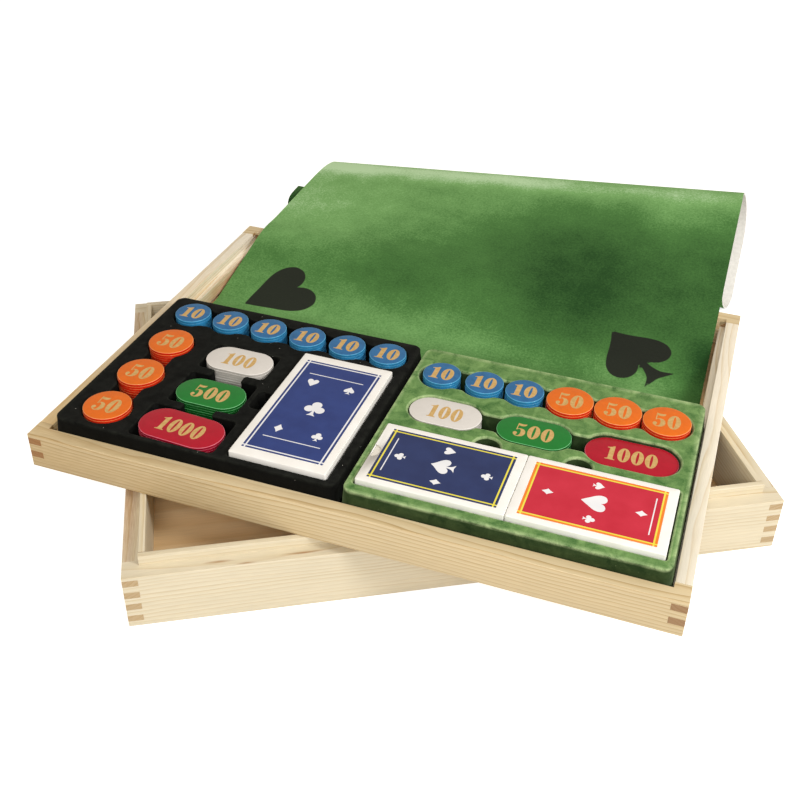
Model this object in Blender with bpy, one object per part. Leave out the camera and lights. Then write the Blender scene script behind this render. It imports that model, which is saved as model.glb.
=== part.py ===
# A wooden poker chip case, laid out open: the deep cover stands underneath with its open side up,
# the shallow box stands across it, and in the box lie two moulded trays with chips, plaques and cards,
# with a felt playing mat behind them that runs out over the back wall into a loose roll.
# Metres, +Z up. The origin is the middle of the cover's underside, X runs along the front of the box.

import math

import bmesh
import bpy

for old in list(bpy.data.objects):
    bpy.data.objects.remove(old, do_unlink=True)

# Fits that many pieces share
REST_GAP = 0.0003  # between pieces that touch
JOINT_GAP = 0.0003  # glue line of the finger joints
OVERRUN = 0.002  # how far a cutter runs past what it cuts
SHARP_ANGLE = math.radians(40)  # edges bent more than this are shaded sharp

# Wooden case: both boxes have the same plan
WALL = 0.0138
RIM = 0.0094  # left of the box's wall outside its rebate
REBATE_DEPTH = 0.007
LIP_CLEARANCE = 0.0005  # sideways play of the cover's lip in the rebate
LIP_HEIGHT = 0.0064
BOX_HEIGHT = 0.025
COVER_WALL_HEIGHT = 0.039
PANEL_THICKNESS = 0.005
PANEL_SEAT = 0.006  # how far the bottom panel reaches into the walls

# Finger joints: thickness, space between, and what is left above the first
BOX_FINGER = 0.0048
BOX_FINGER_SPACE = 0.0052
BOX_FIRST_FINGER = 0.0026
COVER_FINGER = 0.00465
COVER_FINGER_SPACE = 0.00465
COVER_FIRST_FINGER = 0.0022

# How the box stands on the cover
COVER_TURN = math.radians(30)
BOX_SHIFT_X = 0.0032
BOX_SHIFT_Y = -0.0194

# Chips and plaques
CHIP_THICKNESS = 0.0019
CHIPS_IN_STACK = 16
PLAQUES_IN_STACK = 8
GREEN_TRAY_THOUSANDS = 7  # largest plaques in the green tray
CHIP_CHAMFER = 0.0003
CHIP10_DIAMETER = 0.0254
CHIP50_DIAMETER = 0.0305
PLAQUE_LENGTH = 0.0474
PLAQUE_WIDTH = 0.027
BIG_PLAQUE_LENGTH = 0.0574
BIG_PLAQUE_WIDTH = 0.0292
LOOSE_TURN = math.radians(-3.5)  # how the black tray's largest plaques lie in their well
LOOSE_SHIFT = 0.0012  # and how far back from its front part
CHIP_STEPS = 28  # sides of a round chip
PLAQUE_STEPS = 7  # points of a plaque's quarter circle

# Card cartons
TAROT_WIDTH = 0.0635
TAROT_LENGTH = 0.1138
TAROT_DEPTH = 0.026
BRIDGE_WIDTH = 0.0573
BRIDGE_LENGTH = 0.0901
BRIDGE_DEPTH = 0.017
CARTON_BOARD = 0.0005
THUMB_CUT_RADIUS = 0.006
CARD_PLAY = 0.0005  # between a deck and its carton

# Moulded trays
SHEET = 0.0008
TRAY_DRAFT = 0.0015  # how much a skirt leans in, bottom to top
TRAY_CORNER = 0.006
BACK_SKIRT_LAP = 0.002  # how far the deep back skirt reaches up behind the others
CHIP_PROUD = 0.0022  # height of a stack of round chips above the tray's top
PLAQUE_PROUD = 0.0005  # and of a stack of plaques, in the black tray
GREEN_PLAQUE_SUNK = 0.0005  # how far a full stack of them lies below the green tray's top
TAROT_PROUD = 0.0029
BRIDGE_PROUD = 0.0023
TRAY_GAP = 0.001  # between the two trays
TRAY_END_PLAY = 0.0016  # between a tray and the rim at the ends
TRAY_SHIFT = 0.001  # the pair lies this far right of the middle
TRAY_FRONT_PLAY = 0.0003

# Wells: how much bigger than what they hold, on each side
CHIP10_PLAY = 0.0016
CHIP50_PLAY = 0.0008
PLAQUE_PLAY = 0.0007
CARTON_PLAY = 0.0008
PLAQUE_WELL_CORNER = 0.003
CARTON_WELL_CORNER = 0.0015
WELL_STEPS = 5  # points of a round well's quarter circle

# Black tray: lands between wells, left to right and front to back
BLACK_LEFT_LAND = 0.01035
BLACK_CHIP_LAND = 0.0085
BLACK_PLAQUE_LAND = 0.00895
BLACK_RIGHT_LAND = 0.0067
BLACK_FRONT_LAND = 0.0037
BLACK_ROW_LAND = 0.0049
BLACK_BACK_LAND = 0.0059
BLACK_ROW_COUNT = 6
BLACK_ROW_SPACE = 0.0046  # between chips of the row of tens
BLACK_ROW_SHIFT = 0.0018
BLACK_COLUMN_FRONT_LAND = 0.00375
BLACK_COLUMN_SPACE = 0.00925
BLACK_PLAQUE_FRONT = 0.002  # tray's edge to the largest plaque's well
BLACK_PLAQUE_SPACE = 0.0094
BLACK_PLAQUE_BACK_SPACE = 0.0138
BLACK_SPARE_DEPTHS = (0.0028, 0.0052, 0)  # empty space behind each plaque, front to back
ROW_NECK_WIDTH = 0.0195
COLUMN_NECK_WIDTH = 0.0188
PLAQUE_NECK_WIDTH = 0.022
TAROT_NOTCH_REACH = 0.0105
TAROT_NOTCH_WIDTH = 0.0185
TAROT_NOTCH_CORNER = 0.004
TAROT_NOTCH_SHARE = 0.5  # how far along the carton the notch lies

# Green tray: lands front to back, spaces left to right
GREEN_FRONT_LAND = 0.0072
GREEN_CARTON_LAND = 0.0097
GREEN_PLAQUE_LAND = 0.00655
GREEN_BACK_LAND = 0.0131
GREEN_TEN_COUNT = 3
GREEN_FIFTY_COUNT = 3
GREEN_TEN_SPACE = 0.0036
GREEN_TEN_FIFTY_SPACE = 0.00195
GREEN_FIFTY_SPACE = 0.0006
GREEN_PLAQUE_SPACE = 0.0105
GREEN_BIG_PLAQUE_SPACE = 0.0088
GREEN_PLAQUE_SHIFT = 0.0011  # the row of plaques lies this far right of the tray's middle
GREEN_NECK_WIDTH = 0.0147
GREEN_END_LAND = 0.0039
HALF_MOON_RADIUS = 0.0084
HALF_MOON_SHIFT = 0.0016  # from the cartons' well to the notch's middle
HALF_MOON_SHARES = (0.352, 0.664)  # along the cartons' well
GREEN_LOOSE_SHARES = (0.45, 0.8, -0.28, -0.2, -0.1, -0.1)  # where chips lie in their play

# Space behind the trays, and the mat
BACK_SPACE = 0.1294
MAT_THICKNESS = 0.0018
MAT_LENGTH = 0.52
MAT_SIDE_PLAY = 0.0022
MAT_FRONT_PLAY = 0.0018
MAT_RUNS = 62  # stations along the mat
MAT_COLUMNS = 5  # stations across it
CURVE_STEPS = 16  # fine steps between two points of the mat's side curve
ROLL_CLEARANCE = 0.003  # between the roll and the cover's corner
MAT_SKEW = 0.0055  # sideways shift of the roll
MAT_END_SKEW = -0.0085  # and of the mat's hidden end
SKEW_STARTS = (0.45, 0.72)  # along the mat, where each shift begins
SKEW_RUNS = (0.2, 0.22)  # and over how much of the mat it grows
FAR_APART = 10  # thicknesses along the mat, for its least gap to itself

# Worked out: wells and trays
STACK_HEIGHT = CHIP_THICKNESS * CHIPS_IN_STACK
PLAQUE_STACK_HEIGHT = CHIP_THICKNESS * PLAQUES_IN_STACK
STACK_WELL = STACK_HEIGHT - CHIP_PROUD + REST_GAP
PLAQUE_STACK_WELL = PLAQUE_STACK_HEIGHT - PLAQUE_PROUD + REST_GAP
GREEN_PLAQUE_WELL = PLAQUE_STACK_HEIGHT + GREEN_PLAQUE_SUNK + REST_GAP
TAROT_WELL_DEPTH = TAROT_DEPTH - TAROT_PROUD + REST_GAP
BRIDGE_WELL_DEPTH = BRIDGE_DEPTH - BRIDGE_PROUD + REST_GAP
WELL10 = CHIP10_DIAMETER / 2 + CHIP10_PLAY
WELL50 = CHIP50_DIAMETER / 2 + CHIP50_PLAY
PLAQUE_WELL = (PLAQUE_LENGTH + 2 * PLAQUE_PLAY, PLAQUE_WIDTH + 2 * PLAQUE_PLAY)
BIG_WELL = (BIG_PLAQUE_LENGTH + 2 * PLAQUE_PLAY, BIG_PLAQUE_WIDTH + 2 * PLAQUE_PLAY)
TAROT_WELL = (TAROT_WIDTH + 2 * CARTON_PLAY, TAROT_LENGTH + 2 * CARTON_PLAY)
PAIR_WELL = (2 * BRIDGE_LENGTH + REST_GAP + 2 * CARTON_PLAY, BRIDGE_WIDTH + 2 * CARTON_PLAY)

BLACK_ROW_PITCH = CHIP10_DIAMETER + BLACK_ROW_SPACE
BLACK_COLUMN_PITCH = CHIP50_DIAMETER + BLACK_COLUMN_SPACE
GREEN_TEN_PITCH = CHIP10_DIAMETER + GREEN_TEN_SPACE
GREEN_FIFTY_PITCH = CHIP50_DIAMETER + GREEN_FIFTY_SPACE
GREEN_MIXED_PITCH = (CHIP10_DIAMETER + CHIP50_DIAMETER) / 2 + GREEN_TEN_FIFTY_SPACE
GREEN_PLAQUE_RUN = (
    2 * PLAQUE_LENGTH + BIG_PLAQUE_LENGTH + GREEN_PLAQUE_SPACE + GREEN_BIG_PLAQUE_SPACE
)
GREEN_ROW_RUN = (
    (GREEN_TEN_COUNT - 1) * GREEN_TEN_PITCH
    + GREEN_MIXED_PITCH
    + (GREEN_FIFTY_COUNT - 1) * GREEN_FIFTY_PITCH
)

BLACK_COLUMNS_NEED = (
    BLACK_LEFT_LAND + 2 * WELL50 + BLACK_CHIP_LAND + BIG_WELL[0]
    + BLACK_PLAQUE_LAND + TAROT_WELL[0] + BLACK_RIGHT_LAND
)
BLACK_ROW_NEED = (
    (BLACK_ROW_COUNT - 1) * BLACK_ROW_PITCH + 2 * (WELL10 + BLACK_ROW_SHIFT + GREEN_END_LAND)
)
GREEN_CARTONS_NEED = PAIR_WELL[0] + 2 * GREEN_END_LAND
GREEN_ROW_NEED = GREEN_ROW_RUN + WELL10 + WELL50 + 2 * GREEN_END_LAND
GREEN_PLAQUES_NEED = GREEN_PLAQUE_RUN + 2 * (PLAQUE_PLAY + GREEN_END_LAND + GREEN_PLAQUE_SHIFT)
TRAY_TOP_LENGTH = max(
    BLACK_COLUMNS_NEED, BLACK_ROW_NEED, GREEN_CARTONS_NEED, GREEN_ROW_NEED, GREEN_PLAQUES_NEED
)
BLACK_CARTON_DEPTH = (
    BLACK_FRONT_LAND + TAROT_WELL[1] + BLACK_ROW_LAND + 2 * WELL10 + BLACK_BACK_LAND
)
BLACK_COLUMN_DEPTH = (
    BLACK_COLUMN_FRONT_LAND + 2 * BLACK_COLUMN_PITCH + 2 * WELL50
    + BLACK_ROW_LAND + 2 * WELL10 + BLACK_BACK_LAND
)
GREEN_DEPTH = (
    GREEN_FRONT_LAND + PAIR_WELL[1] + GREEN_CARTON_LAND + BIG_WELL[1]
    + GREEN_PLAQUE_LAND + 2 * WELL50 + GREEN_BACK_LAND
)
TRAY_TOP_DEPTH = max(BLACK_CARTON_DEPTH, BLACK_COLUMN_DEPTH, GREEN_DEPTH)
TRAY_LENGTH = TRAY_TOP_LENGTH + 2 * TRAY_DRAFT
TRAY_DEPTH = TRAY_TOP_DEPTH + 2 * TRAY_DRAFT

# Worked out: the case
CASE_LENGTH = 2 * (RIM + TRAY_END_PLAY + TRAY_LENGTH) + TRAY_GAP
CASE_WIDTH = 2 * RIM + TRAY_FRONT_PLAY + TRAY_DEPTH + BACK_SPACE
LEDGE = RIM + LIP_CLEARANCE
COVER_HEIGHT = COVER_WALL_HEIGHT + LIP_HEIGHT
BOX_LEVEL = COVER_HEIGHT + REST_GAP
RIM_LEVEL = BOX_LEVEL + BOX_HEIGHT
FLOOR = PANEL_THICKNESS  # levels below are in the box's own frame
TRAY_BOTTOM = FLOOR + REST_GAP
TRAY_TOP = TRAY_BOTTOM + SHEET + max(STACK_WELL, TAROT_WELL_DEPTH, BRIDGE_WELL_DEPTH)
SKIRT_BOTTOM = BOX_HEIGHT - REBATE_DEPTH + REST_GAP
STACK_BOTTOM = TRAY_TOP - STACK_WELL + REST_GAP
BLACK_PLAQUE_BOTTOM = TRAY_TOP - PLAQUE_STACK_WELL + REST_GAP
GREEN_PLAQUE_BOTTOM = TRAY_TOP - GREEN_PLAQUE_WELL + REST_GAP
BLACK_LEFT = RIM + TRAY_END_PLAY + TRAY_SHIFT + TRAY_DRAFT
GREEN_LEFT = BLACK_LEFT + TRAY_LENGTH + TRAY_GAP
TRAY_FRONT = RIM + TRAY_FRONT_PLAY + TRAY_DRAFT
TRAY_BACK = TRAY_FRONT + TRAY_TOP_DEPTH + TRAY_DRAFT


def material(name, color, roughness, metallic=0.0):
    made = bpy.data.materials.new(name)
    made.use_nodes = True
    shader = made.node_tree.nodes["Principled BSDF"]
    shader.inputs["Base Color"].default_value = (*color, 1)
    shader.inputs["Roughness"].default_value = roughness
    shader.inputs["Metallic"].default_value = metallic
    return made


PINE = material("pine", (0.78, 0.62, 0.38), 0.55)
PLYWOOD = material("plywood", (0.74, 0.58, 0.36), 0.6)
BLACK_FLOCK = material("black_flock", (0.012, 0.012, 0.012), 0.95)
GREEN_FLOCK = material("green_flock", (0.05, 0.13, 0.04), 0.9)
FELT = material("mat_felt", (0.06, 0.2, 0.05), 0.95)
BLUE_CHIP = material("blue_chip", (0.01, 0.13, 0.36), 0.25)
ORANGE_CHIP = material("orange_chip", (0.85, 0.2, 0.02), 0.25)
WHITE_CHIP = material("white_chip", (0.75, 0.74, 0.72), 0.25)
GREEN_CHIP = material("green_chip", (0.02, 0.3, 0.06), 0.25)
RED_CHIP = material("red_chip", (0.5, 0.01, 0.03), 0.25)
CARD_BOARD = material("carton_board", (0.85, 0.84, 0.8), 0.5)
CARDS = material("cards", (0.8, 0.8, 0.78), 0.5)


def place_empty(name, location, turn=0.0):
    empty = bpy.data.objects.new(name, None)
    bpy.context.scene.collection.objects.link(empty)
    empty.location = location
    empty.rotation_euler.z = turn
    return empty


def add_object(name, mesh, parent, location=(0, 0, 0), finish=None):
    made = bpy.data.objects.new(name, mesh)
    bpy.context.scene.collection.objects.link(made)
    made.parent = parent
    made.location = location
    if finish:
        mesh.materials.clear()
        mesh.materials.append(finish)
    return made


def mesh_from(name, work):
    bmesh.ops.recalc_face_normals(work, faces=work.faces)
    mesh = bpy.data.meshes.new(name)
    work.to_mesh(mesh)
    work.free()
    return mesh


def rounded_outline(length, width, radius, steps):
    """Corners of a rectangle about the origin, each a quarter circle."""
    outline = []
    for corner, (side_x, side_y) in enumerate(((1, 1), (-1, 1), (-1, -1), (1, -1))):
        middle_x = side_x * (length / 2 - radius)
        middle_y = side_y * (width / 2 - radius)
        for step in range(steps + 1):
            angle = (corner + step / steps) * math.pi / 2
            x = middle_x + radius * math.cos(angle)
            y = middle_y + radius * math.sin(angle)
            outline.append((x, y))
    return outline


def stadium(length, width, steps):
    """A plaque's outline: the quarter circles of each end meet in one point, kept once."""
    sides = rounded_outline(length, width, width / 2, steps)
    doubled = (2 * steps + 1, 4 * steps + 3)
    return [point for i, point in enumerate(sides) if i not in doubled]


def circle_outline(radius, steps):
    turn = 2 * math.pi / steps
    return [(radius * math.cos(i * turn), radius * math.sin(i * turn)) for i in range(steps)]


def add_rings(work, rings):
    """A closed body through level rings of (outline, height), lowest first, with flat ends."""
    levels = [[work.verts.new((x, y, height)) for x, y in outline] for outline, height in rings]
    count = len(levels[0])
    for low, high in zip(levels, levels[1:]):
        for i in range(count):
            after = (i + 1) % count
            work.faces.new((low[i], low[after], high[after], high[i]))
    work.faces.new(levels[0][::-1])
    work.faces.new(levels[-1])


def ring_mesh(name, rings):
    work = bmesh.new()
    add_rings(work, rings)
    return mesh_from(name, work)


def block_mesh(name, low, high):
    corners = [(low[0], low[1]), (high[0], low[1]), (high[0], high[1]), (low[0], high[1])]
    return ring_mesh(name, [(corners, low[2]), (corners, high[2])])


def moved(outline, x, y):
    return [(px + x, py + y) for px, py in outline]


def cut(target, cutter, operation="DIFFERENCE"):
    """The cutter shapes the target by a Boolean and is itself left out of the part."""
    cutter.hide_render = True
    cutter.display_type = "WIRE"
    change = target.modifiers.new(cutter.name, "BOOLEAN")
    change.object = cutter
    change.operation = operation
    change.solver = "EXACT"


def smooth(target):
    target.data.shade_smooth()
    target.data.set_sharp_from_angle(angle=SHARP_ANGLE)


# The two wooden boxes


def finger_levels(height, first, finger, space):
    """Lower and upper heights of the side walls' fingers, counted down from the wall's top."""
    count = int((height - first - finger) / (finger + space)) + 1
    tops = [height - first - i * (finger + space) for i in range(count)]
    return [(top - finger, top) for top in tops]


def wooden_box(tag, parent, height, fingers, shape_top):
    """Four finger-jointed walls and a bottom panel set in a rebate from below."""
    panel_edge = WALL - PANEL_SEAT
    inset = panel_edge + REST_GAP
    panel_low = (inset, inset, 0)
    panel_high = (CASE_LENGTH - inset, CASE_WIDTH - inset, PANEL_THICKNESS)
    panel = block_mesh(f"{tag}_panel", panel_low, panel_high)
    add_object(f"{tag}_bottom_panel", panel, parent, finish=PLYWOOD)
    seat = add_object(
        f"{tag}_panel_seat",
        block_mesh(
            f"{tag}_panel_seat",
            (panel_edge, panel_edge, -OVERRUN),
            (CASE_LENGTH - panel_edge, CASE_WIDTH - panel_edge, PANEL_THICKNESS + REST_GAP),
        ),
        parent,
    )

    for side, start in (("front", 0), ("back", CASE_WIDTH - WALL)):
        name = f"{tag}_{side}_wall"
        wall = add_object(
            name,
            block_mesh(name, (0, start, 0), (CASE_LENGTH, start + WALL, height)),
            parent,
            finish=PINE,
        )
        for end, edge in (("left", 0), ("right", CASE_LENGTH)):
            for number, (low, high) in enumerate(fingers):
                inner = WALL + JOINT_GAP if end == "left" else -WALL - JOINT_GAP
                outer = -OVERRUN if end == "left" else OVERRUN
                slot_name = f"{name}_{end}_slot_{number + 1}"
                reach = sorted((edge + inner, edge + outer))
                slot = block_mesh(
                    slot_name,
                    (reach[0], start - OVERRUN, low - JOINT_GAP),
                    (reach[1], start + WALL + OVERRUN, high + JOINT_GAP),
                )
                cut(wall, add_object(slot_name, slot, parent))
        cut(wall, seat)
        shape_top(wall, side)

    for side, start in (("left", 0), ("right", CASE_LENGTH - WALL)):
        name = f"{tag}_{side}_wall"
        work = bmesh.new()
        near = WALL + JOINT_GAP
        levels = sorted({0, height} | {edge for pair in fingers for edge in pair})
        outline = []
        for low, high in zip(levels, levels[1:]):
            front = 0 if (low, high) in fingers else near
            outline += [(front, low), (front, high)]
        ring = outline + [(CASE_WIDTH - y, z) for y, z in reversed(outline)]
        rows = [
            [work.verts.new((x, y, z)) for y, z in ring] for x in (start, start + WALL)
        ]
        for i in range(len(ring)):
            after = (i + 1) % len(ring)
            work.faces.new((rows[0][i], rows[0][after], rows[1][after], rows[1][i]))
        work.faces.new(rows[0])
        work.faces.new(rows[1][::-1])
        wall = add_object(name, mesh_from(name, work), parent, finish=PINE)
        cut(wall, seat)
        shape_top(wall, side)


cover_place = place_empty("cover_place", (0, 0, 0), COVER_TURN)
cover_corner = place_empty("cover_corner", (-CASE_LENGTH / 2, -CASE_WIDTH / 2, 0))
cover_corner.parent = cover_place
box_corner = place_empty(
    "box_corner",
    (BOX_SHIFT_X - CASE_LENGTH / 2, BOX_SHIFT_Y - CASE_WIDTH / 2, BOX_LEVEL),
)


def cover_lip(wall, side):
    """The inner part of a cover wall stands proud, to enter the box's rebate."""
    low = COVER_WALL_HEIGHT - OVERRUN
    inner = WALL + JOINT_GAP
    if side in ("front", "back"):
        start = LEDGE if side == "front" else CASE_WIDTH - WALL
        lip = block_mesh(
            f"{wall.name}_lip",
            (LEDGE, start, low),
            (CASE_LENGTH - LEDGE, start + WALL - LEDGE, COVER_HEIGHT),
        )
    else:
        start = LEDGE if side == "left" else CASE_LENGTH - WALL
        lip = block_mesh(
            f"{wall.name}_lip",
            (start, inner, low),
            (start + WALL - LEDGE, CASE_WIDTH - inner, COVER_HEIGHT),
        )
    cut(wall, add_object(f"{wall.name}_lip", lip, cover_corner), "UNION")


box_rebate = add_object(
    "box_rebate",
    block_mesh(
        "box_rebate",
        (RIM, RIM, BOX_HEIGHT - REBATE_DEPTH),
        (CASE_LENGTH - RIM, CASE_WIDTH - RIM, BOX_HEIGHT + OVERRUN),
    ),
    box_corner,
)

wooden_box(
    "cover",
    cover_corner,
    COVER_WALL_HEIGHT,
    finger_levels(COVER_WALL_HEIGHT, COVER_FIRST_FINGER, COVER_FINGER, COVER_FINGER_SPACE),
    cover_lip,
)
wooden_box(
    "box",
    box_corner,
    BOX_HEIGHT,
    finger_levels(BOX_HEIGHT, BOX_FIRST_FINGER, BOX_FINGER, BOX_FINGER_SPACE),
    lambda wall, side: cut(wall, box_rebate),
)


# The moulded trays. A well is (outline, middle x, middle y, depth), placed from the front left of
# the tray's top.


def row_places(start, pitches):
    places = [start]
    for pitch in pitches:
        places.append(places[-1] + pitch)
    return places


def rectangle(size, corner):
    return rounded_outline(size[0], size[1], corner, WELL_STEPS)


def round_well(radius):
    return circle_outline(radius, 4 * WELL_STEPS)


def moulded_tray(name, wells, left, finish):
    """A thin sheet: a drafted top with skirts, and a pocket hung below it for each well."""
    parent = place_empty(f"{name}_place", (left, TRAY_FRONT, 0))
    parent.parent = box_corner
    middle_x = TRAY_TOP_LENGTH / 2
    middle_y = TRAY_TOP_DEPTH / 2

    def shell_ring(inset, height):
        lean = TRAY_DRAFT * (TRAY_TOP - height) / (TRAY_TOP - SKIRT_BOTTOM)
        length = TRAY_TOP_LENGTH + 2 * (lean - inset)
        depth = TRAY_TOP_DEPTH + 2 * (lean - inset)
        outline = rounded_outline(length, depth, TRAY_CORNER - inset, WELL_STEPS)
        return moved(outline, middle_x, middle_y), height

    outer = ring_mesh(name, [shell_ring(0, SKIRT_BOTTOM), shell_ring(0, TRAY_TOP)])
    tray = add_object(name, outer, parent, finish=finish)
    hollow_rings = [shell_ring(SHEET, SKIRT_BOTTOM - OVERRUN), shell_ring(SHEET, TRAY_TOP - SHEET)]
    cut(tray, add_object(f"{name}_hollow", ring_mesh(f"{name}_hollow", hollow_rings), parent))

    pockets = bmesh.new()
    holes = bmesh.new()
    back = TRAY_TOP_DEPTH + TRAY_DRAFT
    end = WALL + REST_GAP - RIM - TRAY_END_PLAY - TRAY_DRAFT + abs(TRAY_SHIFT)
    back_skirt = [
        (end, back - SHEET), (TRAY_TOP_LENGTH - end, back - SHEET),
        (TRAY_TOP_LENGTH - end, back), (end, back),
    ]
    add_rings(pockets, [(back_skirt, TRAY_BOTTOM), (back_skirt, SKIRT_BOTTOM + BACK_SKIRT_LAP)])
    for outline, x, y, depth in wells:
        grow_x = 1 + SHEET / max(px for px, py in outline)
        grow_y = 1 + SHEET / max(py for px, py in outline)
        pocket = moved([(px * grow_x, py * grow_y) for px, py in outline], x, y)
        hole = moved(outline, x, y)
        bottom = TRAY_TOP - depth
        add_rings(pockets, [(pocket, bottom - SHEET), (pocket, TRAY_TOP - SHEET / 2)])
        add_rings(holes, [(hole, bottom), (hole, TRAY_TOP + OVERRUN)])
    pocket_object = add_object(f"{name}_pockets", mesh_from(f"{name}_pockets", pockets), parent)
    hole_object = add_object(f"{name}_wells", mesh_from(f"{name}_wells", holes), parent)
    cut(tray, pocket_object, "UNION")
    tray.modifiers[-1].use_self = True
    cut(tray, hole_object)
    tray.modifiers[-1].use_self = True
    return parent


black_column_x = BLACK_LEFT_LAND + WELL50
black_plaque_x = black_column_x + WELL50 + BLACK_CHIP_LAND + BIG_WELL[0] / 2
tarot_x = black_plaque_x + BIG_WELL[0] / 2 + BLACK_PLAQUE_LAND + TAROT_WELL[0] / 2
tarot_y = BLACK_FRONT_LAND + TAROT_WELL[1] / 2
black_row_y = TRAY_TOP_DEPTH - BLACK_BACK_LAND - WELL10
black_row_x = row_places(
    TRAY_TOP_LENGTH / 2 + BLACK_ROW_SHIFT - (BLACK_ROW_COUNT - 1) * BLACK_ROW_PITCH / 2,
    [BLACK_ROW_PITCH] * (BLACK_ROW_COUNT - 1),
)
black_column_y = row_places(BLACK_COLUMN_FRONT_LAND + WELL50, [BLACK_COLUMN_PITCH] * 2)
black_plaque_y = row_places(
    BLACK_PLAQUE_FRONT + BIG_WELL[1] / 2 + LOOSE_SHIFT,
    [
        (BIG_PLAQUE_WIDTH + PLAQUE_WIDTH) / 2 + BLACK_PLAQUE_SPACE,
        PLAQUE_WIDTH + BLACK_PLAQUE_BACK_SPACE,
    ],
)
tarot_notch_reach = TAROT_WELL[0] / 2 + TAROT_NOTCH_REACH
tarot_notch_y = BLACK_FRONT_LAND + CARTON_PLAY + TAROT_LENGTH * TAROT_NOTCH_SHARE


def neck(x0, x1, y0, y1, depth):
    """A finger gap that joins two wells, square-cornered."""
    half_x = (x1 - x0) / 2
    half_y = (y1 - y0) / 2
    outline = [(half_x, half_y), (-half_x, half_y), (-half_x, -half_y), (half_x, -half_y)]
    return outline, (x0 + x1) / 2, (y0 + y1) / 2, depth


black_wells = [(round_well(WELL10), x, black_row_y, STACK_WELL) for x in black_row_x]
black_wells += [(round_well(WELL50), black_column_x, y, STACK_WELL) for y in black_column_y]
for well, spare, y in zip((BIG_WELL, PLAQUE_WELL, PLAQUE_WELL), BLACK_SPARE_DEPTHS, black_plaque_y):
    hole = rectangle((well[0], well[1] + spare), PLAQUE_WELL_CORNER)
    shift = LOOSE_SHIFT if well is BIG_WELL else 0
    black_wells.append((hole, black_plaque_x, y - shift + spare / 2, PLAQUE_STACK_WELL))
black_wells += [
    (rectangle(TAROT_WELL, CARTON_WELL_CORNER), tarot_x, tarot_y, TAROT_WELL_DEPTH),
    neck(
        black_row_x[0], black_row_x[-1],
        black_row_y - ROW_NECK_WIDTH / 2, black_row_y + ROW_NECK_WIDTH / 2, STACK_WELL,
    ),
    neck(
        black_column_x - COLUMN_NECK_WIDTH / 2, black_column_x + COLUMN_NECK_WIDTH / 2,
        black_column_y[0], black_column_y[-1], STACK_WELL,
    ),
    neck(
        black_plaque_x - PLAQUE_NECK_WIDTH / 2, black_plaque_x + PLAQUE_NECK_WIDTH / 2,
        black_plaque_y[0], black_plaque_y[-1], PLAQUE_STACK_WELL,
    ),
    (
        rectangle((2 * TAROT_NOTCH_REACH, TAROT_NOTCH_WIDTH), TAROT_NOTCH_CORNER),
        tarot_x - TAROT_WELL[0] / 2, tarot_notch_y, TAROT_WELL_DEPTH,
    ),
]

green_pair_x = TRAY_TOP_LENGTH / 2
green_pair_y = GREEN_FRONT_LAND + PAIR_WELL[1] / 2
green_plaque_y = GREEN_FRONT_LAND + PAIR_WELL[1] + GREEN_CARTON_LAND + BIG_WELL[1] / 2
green_row_y = green_plaque_y + BIG_WELL[1] / 2 + GREEN_PLAQUE_LAND + WELL50
green_row_x = row_places(
    (TRAY_TOP_LENGTH - GREEN_ROW_RUN + (CHIP10_DIAMETER - CHIP50_DIAMETER) / 2) / 2,
    [GREEN_TEN_PITCH] * (GREEN_TEN_COUNT - 1)
    + [GREEN_MIXED_PITCH]
    + [GREEN_FIFTY_PITCH] * (GREEN_FIFTY_COUNT - 1),
)
green_plaque_x = row_places(
    (TRAY_TOP_LENGTH - GREEN_PLAQUE_RUN + PLAQUE_LENGTH) / 2 + GREEN_PLAQUE_SHIFT,
    [
        PLAQUE_LENGTH + GREEN_PLAQUE_SPACE,
        (PLAQUE_LENGTH + BIG_PLAQUE_LENGTH) / 2 + GREEN_BIG_PLAQUE_SPACE,
    ],
)
green_radii = [WELL10] * GREEN_TEN_COUNT + [WELL50] * GREEN_FIFTY_COUNT
green_wells = [
    (round_well(radius), x, green_row_y, STACK_WELL)
    for radius, x in zip(green_radii, green_row_x)
]
green_wells += [
    (stadium(*well, WELL_STEPS), x, green_plaque_y, GREEN_PLAQUE_WELL)
    for well, x in zip((PLAQUE_WELL, PLAQUE_WELL, BIG_WELL), green_plaque_x)
]
moon_y = green_pair_y + PAIR_WELL[1] / 2 + HALF_MOON_SHIFT
green_wells += [
    (rectangle(PAIR_WELL, CARTON_WELL_CORNER), green_pair_x, green_pair_y, BRIDGE_WELL_DEPTH),
    neck(
        green_row_x[0], green_row_x[-1],
        green_row_y - ROW_NECK_WIDTH / 2, green_row_y + ROW_NECK_WIDTH / 2, STACK_WELL,
    ),
    neck(
        green_plaque_x[0], green_plaque_x[-1],
        green_plaque_y - GREEN_NECK_WIDTH / 2, green_plaque_y + GREEN_NECK_WIDTH / 2,
        GREEN_PLAQUE_WELL,
    ),
]
moon_x = [green_pair_x + (share - 0.5) * PAIR_WELL[0] for share in HALF_MOON_SHARES]
green_wells += [(round_well(HALF_MOON_RADIUS), x, moon_y, BRIDGE_WELL_DEPTH) for x in moon_x]

black_tray_place = moulded_tray("black_tray", black_wells, BLACK_LEFT, BLACK_FLOCK)
green_tray_place = moulded_tray("green_tray", green_wells, GREEN_LEFT, GREEN_FLOCK)


# Stacks of chips and plaques: the top one shows as a ring of its own


def stack_mesh(name, outline_at, height):
    groove = CHIP_CHAMFER
    top_chip = height - CHIP_THICKNESS
    profile = [
        (0, 0),
        (0, top_chip - groove),
        (groove, top_chip),
        (0, top_chip + groove),
        (0, height - CHIP_CHAMFER),
        (CHIP_CHAMFER, height),
    ]
    return ring_mesh(name, [(outline_at(inset), level) for inset, level in profile])


def round_stack(name, diameter):
    def outline_at(inset):
        return circle_outline(diameter / 2 - inset, CHIP_STEPS)

    return stack_mesh(name, outline_at, STACK_HEIGHT)


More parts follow.
